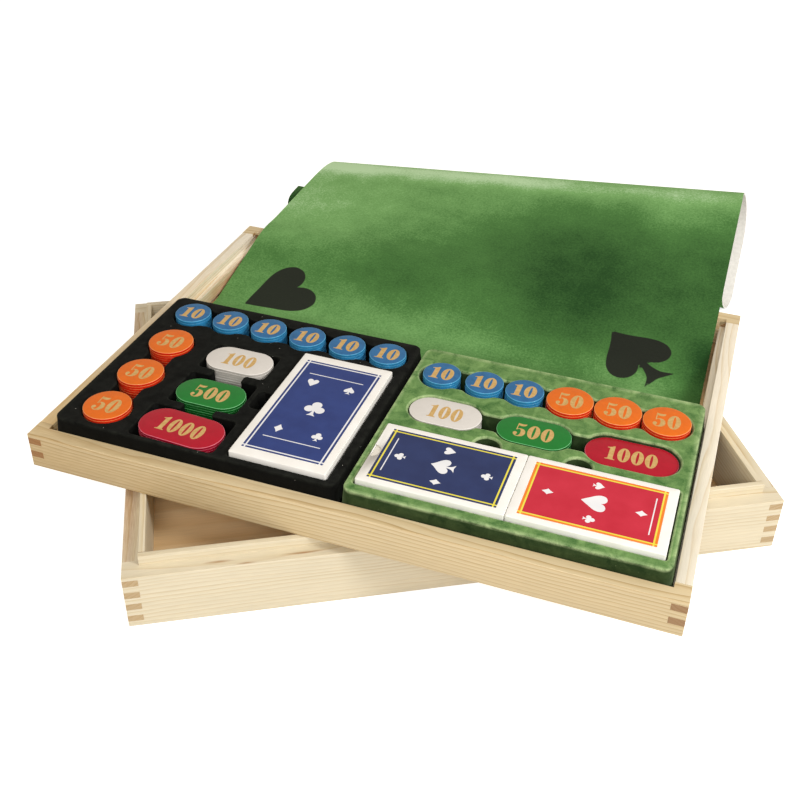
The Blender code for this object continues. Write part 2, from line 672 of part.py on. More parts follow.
def plaque_stack(name, length, width, count=PLAQUES_IN_STACK):
    def outline_at(inset):
        return stadium(length - 2 * inset, width - 2 * inset, PLAQUE_STEPS)

    return stack_mesh(name, outline_at, count * CHIP_THICKNESS)


stack_shapes = {
    "10": round_stack("stack_10", CHIP10_DIAMETER),
    "50": round_stack("stack_50", CHIP50_DIAMETER),
    "100": plaque_stack("stack_100", PLAQUE_LENGTH, PLAQUE_WIDTH),
    "1000": plaque_stack("stack_1000", BIG_PLAQUE_LENGTH, BIG_PLAQUE_WIDTH),
    "low_1000": plaque_stack(
        "low_stack_1000", BIG_PLAQUE_LENGTH, BIG_PLAQUE_WIDTH, GREEN_TRAY_THOUSANDS
    ),
}


def add_stack(name, shape, finish, tray_place, place, turn=0.0):
    """place is the middle of the stack's underside."""
    stack = add_object(name, stack_shapes[shape].copy(), tray_place, place, finish)
    stack.rotation_euler.z = turn
    smooth(stack)


for number, x in enumerate(black_row_x):
    place = (x, black_row_y, STACK_BOTTOM)
    add_stack(f"black_tray_10_stack_{number + 1}", "10", BLUE_CHIP, black_tray_place, place)
for number, y in enumerate(reversed(black_column_y)):
    name = f"black_tray_50_stack_{number + 1}"
    add_stack(name, "50", ORANGE_CHIP, black_tray_place, (black_column_x, y, STACK_BOTTOM))
plaque_kinds = (("1000", "1000", RED_CHIP), ("500", "100", GREEN_CHIP), ("100", "100", WHITE_CHIP))
for (value, shape, finish), y in zip(plaque_kinds, black_plaque_y):
    name = f"black_tray_{value}_plaques"
    turn = LOOSE_TURN if value == "1000" else 0.0
    place = (black_plaque_x, y, BLACK_PLAQUE_BOTTOM)
    add_stack(name, shape, finish, black_tray_place, place, turn)

green_values = ["10"] * GREEN_TEN_COUNT + ["50"] * GREEN_FIFTY_COUNT
green_plays = [CHIP10_PLAY] * GREEN_TEN_COUNT + [CHIP50_PLAY] * GREEN_FIFTY_COUNT
for number, value in enumerate(green_values):
    own_number = green_values[: number + 1].count(value)
    finish = BLUE_CHIP if value == "10" else ORANGE_CHIP
    x = green_row_x[number] + GREEN_LOOSE_SHARES[number] * green_plays[number]
    name = f"green_tray_{value}_stack_{own_number}"
    add_stack(name, value, finish, green_tray_place, (x, green_row_y, STACK_BOTTOM))
for (value, shape, finish), x in zip(reversed(plaque_kinds), green_plaque_x):
    name = f"green_tray_{value}_plaques"
    shape = "low_1000" if value == "1000" else shape
    place = (x, green_plaque_y, GREEN_PLAQUE_BOTTOM)
    add_stack(name, shape, finish, green_tray_place, place)


# Card cartons: a thin board shell round its deck, with a round thumb cut at one end


def add_carton(name, parent, middle, size, proud, cut_at, cut_below=False):
    """size is (x, y, depth); cut_at is the middle of the end edge that has the thumb cut."""
    half_x = size[0] / 2
    half_y = size[1] / 2
    bottom = TRAY_TOP + proud - size[2]
    place = place_empty(f"{name}_place", (middle[0], middle[1], bottom))
    place.parent = parent
    shell = block_mesh(name, (-half_x, -half_y, 0), (half_x, half_y, size[2]))
    carton = add_object(name, shell, place, finish=CARD_BOARD)
    room_x = half_x - CARTON_BOARD
    room_y = half_y - CARTON_BOARD
    room = block_mesh(
        f"{name}_room", (-room_x, -room_y, CARTON_BOARD), (room_x, room_y, size[2] - CARTON_BOARD)
    )
    cut(carton, add_object(f"{name}_room", room, place))
    low = -OVERRUN if cut_below else size[2] - CARTON_BOARD - CARD_PLAY / 2
    high = CARTON_BOARD + CARD_PLAY / 2 if cut_below else size[2] + OVERRUN
    thumb = circle_outline(THUMB_CUT_RADIUS, CHIP_STEPS)
    thumb = moved(thumb, cut_at[0] * half_x, cut_at[1] * half_y)
    thumb_mesh = ring_mesh(f"{name}_thumb_cut", [(thumb, low), (thumb, high)])
    cut(carton, add_object(f"{name}_thumb_cut", thumb_mesh, place))
    deck_x = room_x - CARD_PLAY
    deck_y = room_y - CARD_PLAY
    deck = block_mesh(
        f"{name}_deck",
        (-deck_x, -deck_y, CARTON_BOARD + REST_GAP),
        (deck_x, deck_y, size[2] - CARTON_BOARD - CARD_PLAY),
    )
    add_object(name.replace("carton", "deck"), deck, place, finish=CARDS)


tarot_size = (TAROT_WIDTH, TAROT_LENGTH, TAROT_DEPTH)
bridge_size = (BRIDGE_LENGTH, BRIDGE_WIDTH, BRIDGE_DEPTH)
bridge_step = (BRIDGE_LENGTH + REST_GAP) / 2
add_carton(
    "tarot_carton", black_tray_place, (tarot_x, tarot_y), tarot_size, TAROT_PROUD, (0, -1), True
)
add_carton(
    "blue_carton", green_tray_place, (green_pair_x - bridge_step, green_pair_y),
    bridge_size, BRIDGE_PROUD, (-1, 0),
)
add_carton(
    "red_carton", green_tray_place, (green_pair_x + bridge_step, green_pair_y),
    bridge_size, BRIDGE_PROUD, (1, 0), True,
)


# The felt mat: a ruled sheet between a left and a right side curve of the same length


def catmull(points, steps):
    """A smooth curve through the points."""
    ends = [points[0]] + points + [points[-1]]
    fine = []
    for p0, p1, p2, p3 in zip(ends, ends[1:], ends[2:], ends[3:]):
        for step in range(steps):
            t = step / steps
            fine.append(tuple(
                (2 * b + (c - a) * t + (2 * a - 5 * b + 4 * c - d) * t * t
                 + (3 * b - a - 3 * c + d) * t ** 3) / 2
                for a, b, c, d in zip(p0, p1, p2, p3)
            ))
    fine.append(points[-1])
    return fine


def stations(curve, length, count):
    """Points at equal steps along the curve, with their unit normals, up to the given length."""
    found = []
    travelled = [0.0]
    for a, b in zip(curve, curve[1:]):
        travelled.append(travelled[-1] + math.dist(a, b))
    index = 0
    for i in range(count):
        target = min(length, travelled[-1]) * i / (count - 1)
        while index < len(curve) - 2 and travelled[index + 1] < target:
            index += 1
        a = curve[index]
        b = curve[index + 1]
        run = travelled[index + 1] - travelled[index]
        share = (target - travelled[index]) / run
        dy = (b[0] - a[0]) / run
        dz = (b[1] - a[1]) / run
        found.append(((a[0] + (b[0] - a[0]) * share, a[1] + (b[1] - a[1]) * share), (-dz, dy)))
    return found


MAT_HALF = MAT_THICKNESS / 2
mat_start = TRAY_BACK + MAT_FRONT_PLAY
mat_floor = FLOOR + REST_GAP + MAT_HALF
mat_on_rim = BOX_HEIGHT + 2 * REST_GAP + MAT_HALF
rim_edge = CASE_WIDTH - RIM
cover_corner_y = (
    math.sin(COVER_TURN) * CASE_LENGTH / 2 + math.cos(COVER_TURN) * CASE_WIDTH / 2
    - BOX_SHIFT_Y + CASE_WIDTH / 2
)
roll_plane = cover_corner_y + ROLL_CLEARANCE
roll_reach = roll_plane - CASE_WIDTH
table = -BOX_LEVEL + REST_GAP + MAT_HALF

# On the floor behind the trays, then up to the rim: shares of the back space and of the climb
climb_shares = ((0.13, 0.0), (0.27, 0.0), (0.36, 0.015), (0.485, 0.2), (0.7, 0.54), (1.0, 1.0))
# Over the wall and round the roll: shares of the way from the back wall to the cover's corner,
# and of the height from the table to the rim
left_roll_shares = (
    (0.18, 1.010), (0.48, 1.030), (0.80, 1.052), (1.06, 1.064), (1.26, 1.050), (1.44, 0.985),
    (1.60, 0.83), (1.68, 0.60), (1.66, 0.34), (1.54, 0.12), (1.34, 0.0), (1.20, 0.035),
    (1.09, 0.20), (1.045, 0.42), (1.01, 0.64), (0.92, 0.84), (0.77, 0.952), (0.62, 0.93),
    (0.50, 0.85), (0.40, 0.77),
)
right_roll_shares = (
    (0.20, 1.115), (0.48, 1.235), (0.75, 1.36), (0.96, 1.465), (1.13, 1.515), (1.32, 1.50),
    (1.50, 1.39), (1.64, 1.20), (1.72, 0.96), (1.725, 0.70), (1.66, 0.42), (1.52, 0.17),
    (1.34, 0.015), (1.20, 0.035), (1.11, 0.19), (1.07, 0.40), (1.045, 0.60), (1.00, 0.80), (0.92, 0.95),
)


def side_curve(roll_shares):
    climb = [
        (TRAY_BACK + y * BACK_SPACE, mat_floor + z * (mat_on_rim - mat_floor))
        for y, z in climb_shares
    ]
    roll = [
        (CASE_WIDTH + y * roll_reach, table + z * (mat_on_rim - table)) for y, z in roll_shares
    ]
    return catmull([(mat_start, mat_floor)] + climb + roll, CURVE_STEPS)


def mat_skew(share):
    """The roll lies a little askew: sideways shift of a station at this share of the length."""
    grown = []
    for start, run in zip(SKEW_STARTS, SKEW_RUNS):
        t = min(1, max(0, (share - start) / run))
        grown.append(t * t * (3 - 2 * t))
    return MAT_SKEW * grown[0] + (MAT_END_SKEW - MAT_SKEW) * grown[1]


mat_left = WALL + MAT_SIDE_PLAY
mat_right = CASE_LENGTH - WALL - MAT_SIDE_PLAY
left_stations = stations(side_curve(left_roll_shares), MAT_LENGTH, MAT_RUNS)
right_stations = stations(side_curve(right_roll_shares), MAT_LENGTH, MAT_RUNS)
work = bmesh.new()
faces = {}
for side in (1, -1):
    for i, (left, right) in enumerate(zip(left_stations, right_stations)):
        for j in range(MAT_COLUMNS):
            t = j / (MAT_COLUMNS - 1)
            (ly, lz), (lny, lnz) = left
            (ry, rz), (rny, rnz) = right
            ny = lny + (rny - lny) * t
            nz = lnz + (rnz - lnz) * t
            size = math.hypot(ny, nz)
            x = mat_left + (mat_right - mat_left) * t + mat_skew(i / (MAT_RUNS - 1))
            y = ly + (ry - ly) * t + side * MAT_HALF * ny / size
            z = lz + (rz - lz) * t + side * MAT_HALF * nz / size
            faces[side, i, j] = work.verts.new((x, y, z))
for i in range(MAT_RUNS - 1):
    for j in range(MAT_COLUMNS - 1):
        for side in (1, -1):
            around = ((i, j), (i, j + 1), (i + 1, j + 1), (i + 1, j))
            corners = [faces[side, a, b] for a, b in around]
            work.faces.new(corners[::side])
    for j in (0, MAT_COLUMNS - 1):
        work.faces.new([faces[1, i, j], faces[1, i + 1, j], faces[-1, i + 1, j], faces[-1, i, j]])
for j in range(MAT_COLUMNS - 1):
    for i in (0, MAT_RUNS - 1):
        work.faces.new([faces[1, i, j], faces[1, i, j + 1], faces[-1, i, j + 1], faces[-1, i, j]])
mat = add_object("playing_mat", mesh_from("playing_mat", work), box_corner, finish=FELT)
smooth(mat)


def least_gap(side):
    """The least gap between stations of one side curve that are far apart along it."""
    points = [point for point, normal in side]
    step = MAT_LENGTH / (MAT_RUNS - 1)
    apart = int(FAR_APART * MAT_THICKNESS / step) + 1
    return min(
        math.dist(a, b)
        for i, a in enumerate(points)
        for b in points[i + apart:]
    ) - MAT_THICKNESS


print(f"case {CASE_LENGTH:.4f} x {CASE_WIDTH:.4f}, rim at {RIM_LEVEL:.4f}")
print(f"mat's least gap to itself {min(least_gap(left_stations), least_gap(right_stations)):.4f}")
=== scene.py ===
import math
import random

import bmesh
import bpy
import numpy as np
from mathutils import Matrix, Vector, noise
from mathutils.geometry import delaunay_2d_cdt


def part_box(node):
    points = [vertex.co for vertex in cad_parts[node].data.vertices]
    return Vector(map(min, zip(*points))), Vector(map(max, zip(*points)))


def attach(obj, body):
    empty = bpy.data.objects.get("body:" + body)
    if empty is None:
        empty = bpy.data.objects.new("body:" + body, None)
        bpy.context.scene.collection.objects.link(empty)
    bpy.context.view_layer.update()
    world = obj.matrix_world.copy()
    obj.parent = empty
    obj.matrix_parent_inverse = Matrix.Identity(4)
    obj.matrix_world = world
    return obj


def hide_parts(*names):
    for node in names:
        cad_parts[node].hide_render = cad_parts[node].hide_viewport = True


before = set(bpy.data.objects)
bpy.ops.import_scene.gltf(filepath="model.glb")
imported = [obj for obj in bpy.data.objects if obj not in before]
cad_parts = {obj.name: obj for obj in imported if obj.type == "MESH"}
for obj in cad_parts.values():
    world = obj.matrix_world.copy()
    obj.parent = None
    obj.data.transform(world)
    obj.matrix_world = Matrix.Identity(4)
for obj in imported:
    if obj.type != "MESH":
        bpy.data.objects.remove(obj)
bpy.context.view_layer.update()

print("frame loaded:", len(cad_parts), "nodes")

# Lengths below are in millimetres, in the frame of the solids; they become metres in makeObject.


def hexColor(code):
    channels = [int(code[i:i + 2], 16) / 255 for i in (1, 3, 5)]
    return tuple(c / 12.92 if c <= 0.04045 else ((c + 0.055) / 1.055) ** 2.4 for c in channels) + (1,)


def addNode(tree, kind, settings={}, links={}):
    # inputs go by name or number; a link comes from a socket, or from a node's first output
    node = tree.nodes.new(f"ShaderNode{kind}")
    for name, value in settings.items():
        if name == "stops":
            elements = node.color_ramp.elements
            elements.remove(elements[1])
            for number, (place, code) in enumerate(value):
                stop = elements[0] if number == 0 else elements.new(place)
                stop.position = place
                stop.color = hexColor(code)
        elif isinstance(name, str) and name[0].islower():
            setattr(node, name, value)
        else:
            node.inputs[name].default_value = value
    for name, source in links.items():
        tree.links.new(getattr(source, "outputs", [source])[0], node.inputs[name])
    return node


def newMaterial(name, surface):
    material = bpy.data.materials.new(name)
    material.use_nodes = True
    shader = material.node_tree.nodes["Principled BSDF"]
    for socket, value in surface.items():
        shader.inputs[socket].default_value = value
    return material, material.node_tree, shader


def scaledPlace(tree, *scale):
    # texture space with one unit per given number of millimetres, for all axes or for each
    place = addNode(tree, "TexCoord")
    scales = [1000 / s for s in (scale if len(scale) == 3 else scale * 3)]
    return addNode(tree, "VectorMath", {"operation": "MULTIPLY", 1: scales}, {0: place.outputs["Object"]})


def dress(tree, shader, tone, relief, strength, depth):
    # the surface's colour and its relief, as a bump of a depth in millimetres
    tree.links.new(tone.outputs[0], shader.inputs["Base Color"])
    bump = addNode(tree, "Bump", {"Strength": strength, "Distance": depth / 1000}, {"Height": relief})
    tree.links.new(bump.outputs[0], shader.inputs["Normal"])


# a noise texture's values lie mostly between these two inputs of a MapRange node
noiseSpan = {1: 0.3, 2: 0.7}


# ---- Materials

# Pine, planed and sanded, oiled dull. Pale, with fine straight year rings of 2 to 3 mm that
# show as darker lines along the grain and as arcs on the darker end grain.
pineLook = {
    "stops": ((0.0, "#e3d1aa"), (0.5, "#dfcaa0"), (0.78, "#d3ba8c"), (0.92, "#b99967"), (1.0, "#e1cfa5")),
    "endTone": "#c09a68", "endShare": 0.7, "roughness": 0.5,
    # in millimetres: the rings, how far they bend, and along and across the grain the sizes of the
    # fibres, of the bends, of years with stronger rings and of broad areas
    "ringWidth": 2.5, "bend": 9.0, "fibreSize": (10.5, 0.35, 0.35), "bendSize": (170, 26, 26),
    "yearSize": (500, 9, 9), "areaSize": (120, 30, 30),
    # how strongly rings show, and how fibres and areas darken and lighten the colour
    "ringShare": (0.2, 0.95), "fibreLevel": (0.93, 1.04), "areaLevel": (0.95, 1.03),
}
# the shallow box's short walls and the cover are sapwood of other boards, paler, with fainter rings
paleLook = dict(pineLook, endTone="#96681e", endShare=0.85, stops=(
    (0.0, "#f8f1df"), (0.5, "#f4ebd7"), (0.78, "#ecdec0"), (0.92, "#dbc398"), (1.0, "#f6eeda")))
creamLook = dict(pineLook, endTone="#c6a87c", stops=(
    (0.0, "#e6dcc4"), (0.5, "#e1d6bb"), (0.78, "#dacba7"), (0.92, "#cab286"), (1.0, "#e4d9c0")))


def planedPine(name, look):
    material, tree, shader = newMaterial(name, {"Roughness": look["roughness"], "Specular IOR Level": 0.35})
    place = addNode(tree, "TexCoord")
    inMillimetres = scaledPlace(tree, 1)
    bends = addNode(tree, "TexNoise", {"Scale": 1, "Detail": 3, "Roughness": 0.5},
                    {"Vector": scaledPlace(tree, *look["bendSize"])})
    across = addNode(tree, "VectorMath", {"operation": "MULTIPLY", 1: (0, 1, 1)}, {0: inMillimetres})
    radius = addNode(tree, "VectorMath", {"operation": "LENGTH"}, {0: across})
    bent = addNode(tree, "Math", {"operation": "MULTIPLY_ADD", 1: look["bend"]},
                   {0: bends, 2: radius.outputs["Value"]})
    rings = addNode(tree, "Math", {"operation": "DIVIDE", 1: look["ringWidth"]}, {0: bent})
    phase = addNode(tree, "Math", {"operation": "FRACT"}, {0: rings})
    ringTone = addNode(tree, "ValToRGB", {"stops": look["stops"]}, {0: phase})
    years, fibres, areas = (
        addNode(tree, "TexNoise", {"Scale": 1, "Detail": detail}, {"Vector": scaledPlace(tree, *look[size])})
        for size, detail in (("yearSize", 1), ("fibreSize", 2), ("areaSize", 2)))
    weakest, strongest = look["ringShare"]
    strength = addNode(tree, "MapRange", {**noiseSpan, 3: weakest, 4: strongest}, {0: years})
    toned = addNode(tree, "MixRGB", {"Color1": hexColor(look["stops"][1][1])},
                    {"Fac": strength, "Color2": ringTone})
    for pattern, (darkest, lightest) in ((fibres, look["fibreLevel"]), (areas, look["areaLevel"])):
        level = addNode(tree, "MapRange", {**noiseSpan, 3: darkest, 4: lightest}, {0: pattern})
        toned = addNode(tree, "VectorMath", {"operation": "SCALE"}, {0: toned, "Scale": level})
    split = addNode(tree, "SeparateXYZ", {}, {0: place.outputs["Normal"]})
    facing = addNode(tree, "Math", {"operation": "ABSOLUTE"}, {0: split})
    isEnd = addNode(tree, "MapRange", {1: 0.6, 2: 0.9, 3: 0, 4: look["endShare"]}, {0: facing})
    toned = addNode(tree, "MixRGB", {"blend_type": "MULTIPLY", "Color2": hexColor(look["endTone"])},
                    {"Fac": isEnd, "Color1": toned})
    # darker streaks of the wood, and patches of painted shade: tone, then middle and half sizes in the piece's
    # own millimetres
    for streakAndShadeTone, *middle, length, width, height in look.get("streaksAndShade", ()):
        away = addNode(tree, "VectorMath", {"operation": "SUBTRACT", 1: middle}, {0: inMillimetres})
        shape = addNode(tree, "VectorMath", {"operation": "DIVIDE", 1: (length, width, height)}, {0: away})
        reach = addNode(tree, "VectorMath", {"operation": "LENGTH"}, {0: shape})
        ragged = addNode(tree, "Math", {"operation": "ADD"}, {0: reach.outputs["Value"], 1: fibres})
        streakAndShade = addNode(tree, "MapRange", {1: 0.6, 2: 1.5, 3: 0.75, 4: 0}, {0: ragged})
        toned = addNode(tree, "MixRGB", {"blend_type": "MULTIPLY", "Color2": hexColor(streakAndShadeTone)},
                        {"Fac": streakAndShade, "Color1": toned})
    dress(tree, shader, toned, fibres, 0.12, 0.15)
    return material


# Pine plywood, rotary peeled: broad flame figure, no end grain on the faces.
plyLook = dict(pineLook, ringWidth=9.0, fibreSize=(18.0, 0.6, 0.6), endTone="#ffffff",
               stops=((0.0, "#f6d8aa"), (0.55, "#f2cf9c"), (0.85, "#e4bc84"), (1.0, "#f6d8aa")))


# Flocked vacuum-formed plastic: short fibres blown onto glue. The nap kills gloss, looks cloudy
# where it lies differently, and lights up at a low angle and along worn edges. Upright walls get painted shade.
flockLook = {
    "roughness": 0.95, "specular": 0.1, "lintPatch": 6, "grainShare": 0.35, "toneSpan": (0.44, 0.94),
}
blackFlockLook = dict(
    flockLook, dark="#080908", light="#1d1e1c", edge="#34372f", speck="#c9c6bd", cloud=7.0, grain=0.55,
    edgeShare=0.3, sheen=0.1, sheenTint="#8d9288", sideShade=0.3, speckSize=0.035)
greenFlockLook = dict(
    flockLook, dark="#3d6834", light="#86aa68", edge="#c4d9a2", speck="#c3d4a4", cloud=9.0, grain=0.6,
    edgeShare=0.75, sheen=0.2, sheenTint="#b8d49a", sideShade=0.2, speckSize=0.02)


def flockedPlastic(name, look):
    material, tree, shader = newMaterial(name, {
        "Roughness": look["roughness"], "Specular IOR Level": look["specular"],
        "Sheen Weight": look["sheen"], "Sheen Roughness": 0.45, "Sheen Tint": hexColor(look["sheenTint"]),
    })
    clouds = addNode(tree, "TexNoise", {"Scale": 1, "Detail": 4, "Roughness": 0.62, "Distortion": 0.6},
                     {"Vector": scaledPlace(tree, look["cloud"])})
    grain = addNode(tree, "TexNoise", {"Scale": 1, "Detail": 2},
                    {"Vector": scaledPlace(tree, look["grain"])})
    both = addNode(tree, "Math", {"operation": "MULTIPLY_ADD", 1: look["grainShare"]}, {0: grain, 2: clouds})
    darkest, lightest = look["toneSpan"]
    share = addNode(tree, "MapRange", {1: darkest, 2: lightest, 3: 0, 4: 1}, {0: both})
    tone = addNode(tree, "MixRGB", {"Color1": hexColor(look["dark"]), "Color2": hexColor(look["light"])},
                   {"Fac": share})
    # painted shade: upright faces are darkened to a share of their tone, lying faces keep it
    place = addNode(tree, "TexCoord")
    split = addNode(tree, "SeparateXYZ", {}, {0: place.outputs["Normal"]})
    paintedSideShade = addNode(tree, "MapRange", {1: 0.1, 2: 0.9, 3: look["sideShade"], 4: 1.0}, {0: split.outputs[2]})
    tone = addNode(tree, "VectorMath", {"operation": "SCALE"}, {0: tone, "Scale": paintedSideShade})
    worn = addNode(tree, "Attribute", {"attribute_name": "edge"})
    wornShare = addNode(tree, "Math", {"operation": "MULTIPLY", 1: look["edgeShare"]}, {0: worn.outputs["Fac"]})
    wornBroken = addNode(tree, "Math", {"operation": "MULTIPLY"}, {0: wornShare, 1: share})
    edged = addNode(tree, "MixRGB", {"Color2": hexColor(look["edge"])}, {"Fac": wornBroken, "Color1": tone})
    # a speck of lint in each patch
    lint = addNode(tree, "TexVoronoi", {"Scale": 1, "Randomness": 1},
                   {"Vector": scaledPlace(tree, look["lintPatch"])})
    isLint = addNode(tree, "Math", {"operation": "LESS_THAN", 1: look["speckSize"]},
                     {0: lint.outputs["Distance"]})
    specked = addNode(tree, "MixRGB", {"Color2": hexColor(look["speck"])}, {"Fac": isLint, "Color1": edged})
    dress(tree, shader, specked, both, 0.5, 0.3)
    return material


# Pressed wool felt, 1.8 mm, with the suits screen-printed in black. Short random fibres, no weave,
# broad lighter and darker areas where the nap was brushed, and painted light: sheen highlight, shadow and
# shade.
feltLook = {
    "stops": ((0.0, "#234821"), (0.42, "#4e7e41"), (0.75, "#80b36c"), (1.0, "#c4e6b8")),
    "ink": "#20221e", "inkWearAndLight": "#2e332b", "cloud": 22.0, "tuft": 1.6, "fibre": 0.5,
    # how much clouds, fibres and tufts add to the brushed nap with its painted light, and what sum is darkest
    # and lightest
    "cloudShare": 0.28, "fibreShare": 0.5, "tuftShare": 0.45, "toneSpan": (0.56, 1.5),
}


def pressedFelt(name, look):
    material, tree, shader = newMaterial(name, {
        "Roughness": 0.95, "Specular IOR Level": 0.1, "Sheen Weight": 0.3,
        "Sheen Roughness": 0.4, "Sheen Tint": hexColor("#b6d3a0"),
    })
    cloud = addNode(tree, "TexNoise", {"Scale": 1, "Detail": 4, "Roughness": 0.55},
                    {"Vector": scaledPlace(tree, look["cloud"])})
    # the mat's field: brushed nap, and painted light, namely a sheen highlight along the ridge, the right
    # wall's shadow and shade
    napAndLightField = addNode(tree, "Attribute", {"attribute_name": "napAndPaintedLight"})
    napAndPaintedLight = addNode(tree, "Math", {"operation": "MULTIPLY_ADD", 1: look["cloudShare"]},
                  {0: cloud, 2: napAndLightField.outputs["Fac"]})
    tuft = addNode(tree, "TexNoise", {"Scale": 1, "Detail": 3, "Roughness": 0.7},
                   {"Vector": scaledPlace(tree, look["tuft"])})
    fibre = addNode(tree, "TexNoise", {"Scale": 1, "Detail": 2, "Distortion": 1.5},
                    {"Vector": scaledPlace(tree, look["fibre"])})
    small = addNode(tree, "Math", {"operation": "MULTIPLY_ADD", 1: look["fibreShare"]}, {0: fibre, 2: tuft})
    both = addNode(tree, "Math", {"operation": "MULTIPLY_ADD", 1: look["tuftShare"]}, {0: small, 2: napAndPaintedLight})
    darkest, lightest = look["toneSpan"]
    share = addNode(tree, "MapRange", {1: darkest, 2: lightest, 3: 0, 4: 1}, {0: both})
    tone = addNode(tree, "ValToRGB", {"stops": look["stops"]}, {0: share})
    # the ink is lighter where the felt is lighter, so it takes on the painted light too
    inkTone = addNode(tree, "MixRGB", {"Color1": hexColor(look["ink"]), "Color2": hexColor(look["inkWearAndLight"])},
                      {"Fac": share})
    # the ink's edge, ragged by the tufts
    suit = addNode(tree, "Attribute", {"attribute_name": "suit"})
    rough = addNode(tree, "Math", {"operation": "MULTIPLY_ADD", 1: 0.9, 2: -0.45}, {0: tuft})
    inkEdge = addNode(tree, "Math", {"operation": "ADD"}, {0: suit.outputs["Fac"], 1: rough})
    inked = addNode(tree, "MapRange", {1: -0.3, 2: 0.3, 3: 0, 4: 1}, {0: inkEdge})
    printed = addNode(tree, "MixRGB", {}, {"Fac": inked, "Color1": tone, "Color2": inkTone})
    dress(tree, shader, printed, small, 0.35, 0.3)
    return material


# The small-scale pattern of board, ink, foil, card edges and fleece backing: two tones of one colour
# in clouds of a given size, with a slight bump of its own size.
def mottled(name, look):
    material, tree, shader = newMaterial(name, {
        "Roughness": look["roughness"], "Specular IOR Level": look.get("specular", 0.5),
        "Metallic": look.get("metallic", 0.0),
    })
    clouds = addNode(tree, "TexNoise", {"Scale": 1, "Detail": 3},
                     {"Vector": scaledPlace(tree, look["cloud"])})
    share = addNode(tree, "MapRange", {**noiseSpan, 3: 0, 4: 1}, {0: clouds})
    one, other = (hexColor(tone) for tone in look["tones"])
    mixed = addNode(tree, "MixRGB", {"Color1": one, "Color2": other}, {"Fac": share})
    fine = addNode(tree, "TexNoise", {"Scale": 1, "Detail": 2},
                   {"Vector": scaledPlace(tree, look["grit"])})
    dress(tree, shader, mixed, fine, look["relief"], 0.2)
    return material


# Cast resin chip, tumbled and polished: even glittery colour on the flat faces, a painted highlight, a
# lighter tone on the rounded edge where it would catch light, and another colour on the upright side.
glitterSize = 5


def castResin(name, top, rim, side, glitter):
    material, tree, shader = newMaterial(name, {"Roughness": 0.28, "Specular IOR Level": 0.3,
                                                "Coat Weight": 0.08, "Coat Roughness": 0.08})
    place = addNode(tree, "TexCoord")
    split = addNode(tree, "SeparateXYZ", {}, {0: place.outputs["Normal"]})
    facing = addNode(tree, "Math", {"operation": "ABSOLUTE"}, {0: split.outputs[2]})
    # painted highlight: the rim stops lighten the rounded edge between the side and the flat face
    tone = addNode(tree, "ValToRGB",
                   {"stops": ((0.0, side), (0.45, side), (0.65, rim), (0.9, rim), (0.985, top))}, {0: facing})
    clouds = addNode(tree, "TexNoise", {"Scale": 1, "Detail": 5, "Roughness": 0.7},
                     {"Vector": scaledPlace(tree, glitterSize)})
    level = addNode(tree, "MapRange", {**noiseSpan, 3: 1 - glitter, 4: 1 + glitter}, {0: clouds})
    mixed = addNode(tree, "VectorMath", {"operation": "SCALE"}, {0: tone, "Scale": level})
    dress(tree, shader, mixed, clouds, 0.06, 0.2)
    return material


# Solid bleached board with a clay coating and varnish: white, smooth, half gloss.
def coatedBoard(tones):
    return {"tones": tones, "cloud": 14, "grit": 0.7, "relief": 0.05, "roughness": 0.36, "specular": 0.4}


finishes = {
    "pine": planedPine("pinePlaned", pineLook),
    "palePine": planedPine("pinePale", paleLook),
    "creamPine": planedPine("pineCream", creamLook),
    "plywood": planedPine("pinePlywood", plyLook),
    "blackFlock": flockedPlastic("flockBlack", blackFlockLook),
    "greenFlock": flockedPlastic("flockGreen", greenFlockLook),
    "felt": pressedFelt("feltPressed", feltLook),
    # fleece backing: needled polyester, matt, greyish white, lumpy
    "backing": mottled("fleeceNeedled", {"tones": ("#e9e8e2", "#f6f5f0"), "cloud": 3, "grit": 0.8,
                                         "relief": 0.5, "roughness": 0.95, "specular": 0.2}),
    # colours: flat face, painted highlight on the rounded edge, upright side; then how much glitter varies
    "blueResin": castResin("resinBlue", "#2a6ba0", "#6ab8de", "#2f86b8", 0.2),
    "orangeResin": castResin("resinOrange", "#e66e12", "#f8b070", "#e02e12", 0.08),
    "whiteResin": castResin("resinWhite", "#dedad4", "#f6f4f0", "#cbc6be", 0.03),
    "greenResin": castResin("resinGreen", "#177a2d", "#7fd090", "#125f20", 0.08),
    "redResin": castResin("resinRed", "#b20a28", "#e67f92", "#a80f2e", 0.08),
    # hot-stamped foil pressed into the resin: brass tone, satin, slightly worn
    "foil": mottled("foilHotStamped", {"tones": ("#d2a862", "#e3bf7e"), "cloud": 2, "grit": 0.8, "relief": 0.1,
                                       "roughness": 0.45, "metallic": 0.25}),
    "board": mottled("boardCoated", coatedBoard(("#f6f4ee", "#fdfcf8"))),
    # the edges of playing cards: many thin cut layers, a warm grey
    "cards": mottled("cardsCut", {"tones": ("#dcd6c8", "#efebe0"), "cloud": 0.8, "grit": 0.5, "relief": 0.3,
                                  "roughness": 0.6}),
    "blueInk": mottled("inkBlue", coatedBoard(("#243878", "#2b4184"))),
    "navyInk": mottled("inkNavy", coatedBoard(("#212f5d", "#283869"))),
    "redInk": mottled("inkRed", coatedBoard(("#c62139", "#d02c43"))),
    "orangeInk": mottled("inkOrange", coatedBoard(("#f07f22", "#f58c30"))),
    "yellowInk": mottled("inkYellow", coatedBoard(("#ecdf43", "#f3e858"))),
    "whiteInk": mottled("inkWhite", coatedBoard(("#eceef2", "#f7f8fa"))),
}
print("materials made:", len(finishes))


# ---- Making pieces


def placeObject(name, data):
    made = bpy.data.objects.new(name, data)
    bpy.context.scene.collection.objects.link(made)
    return made


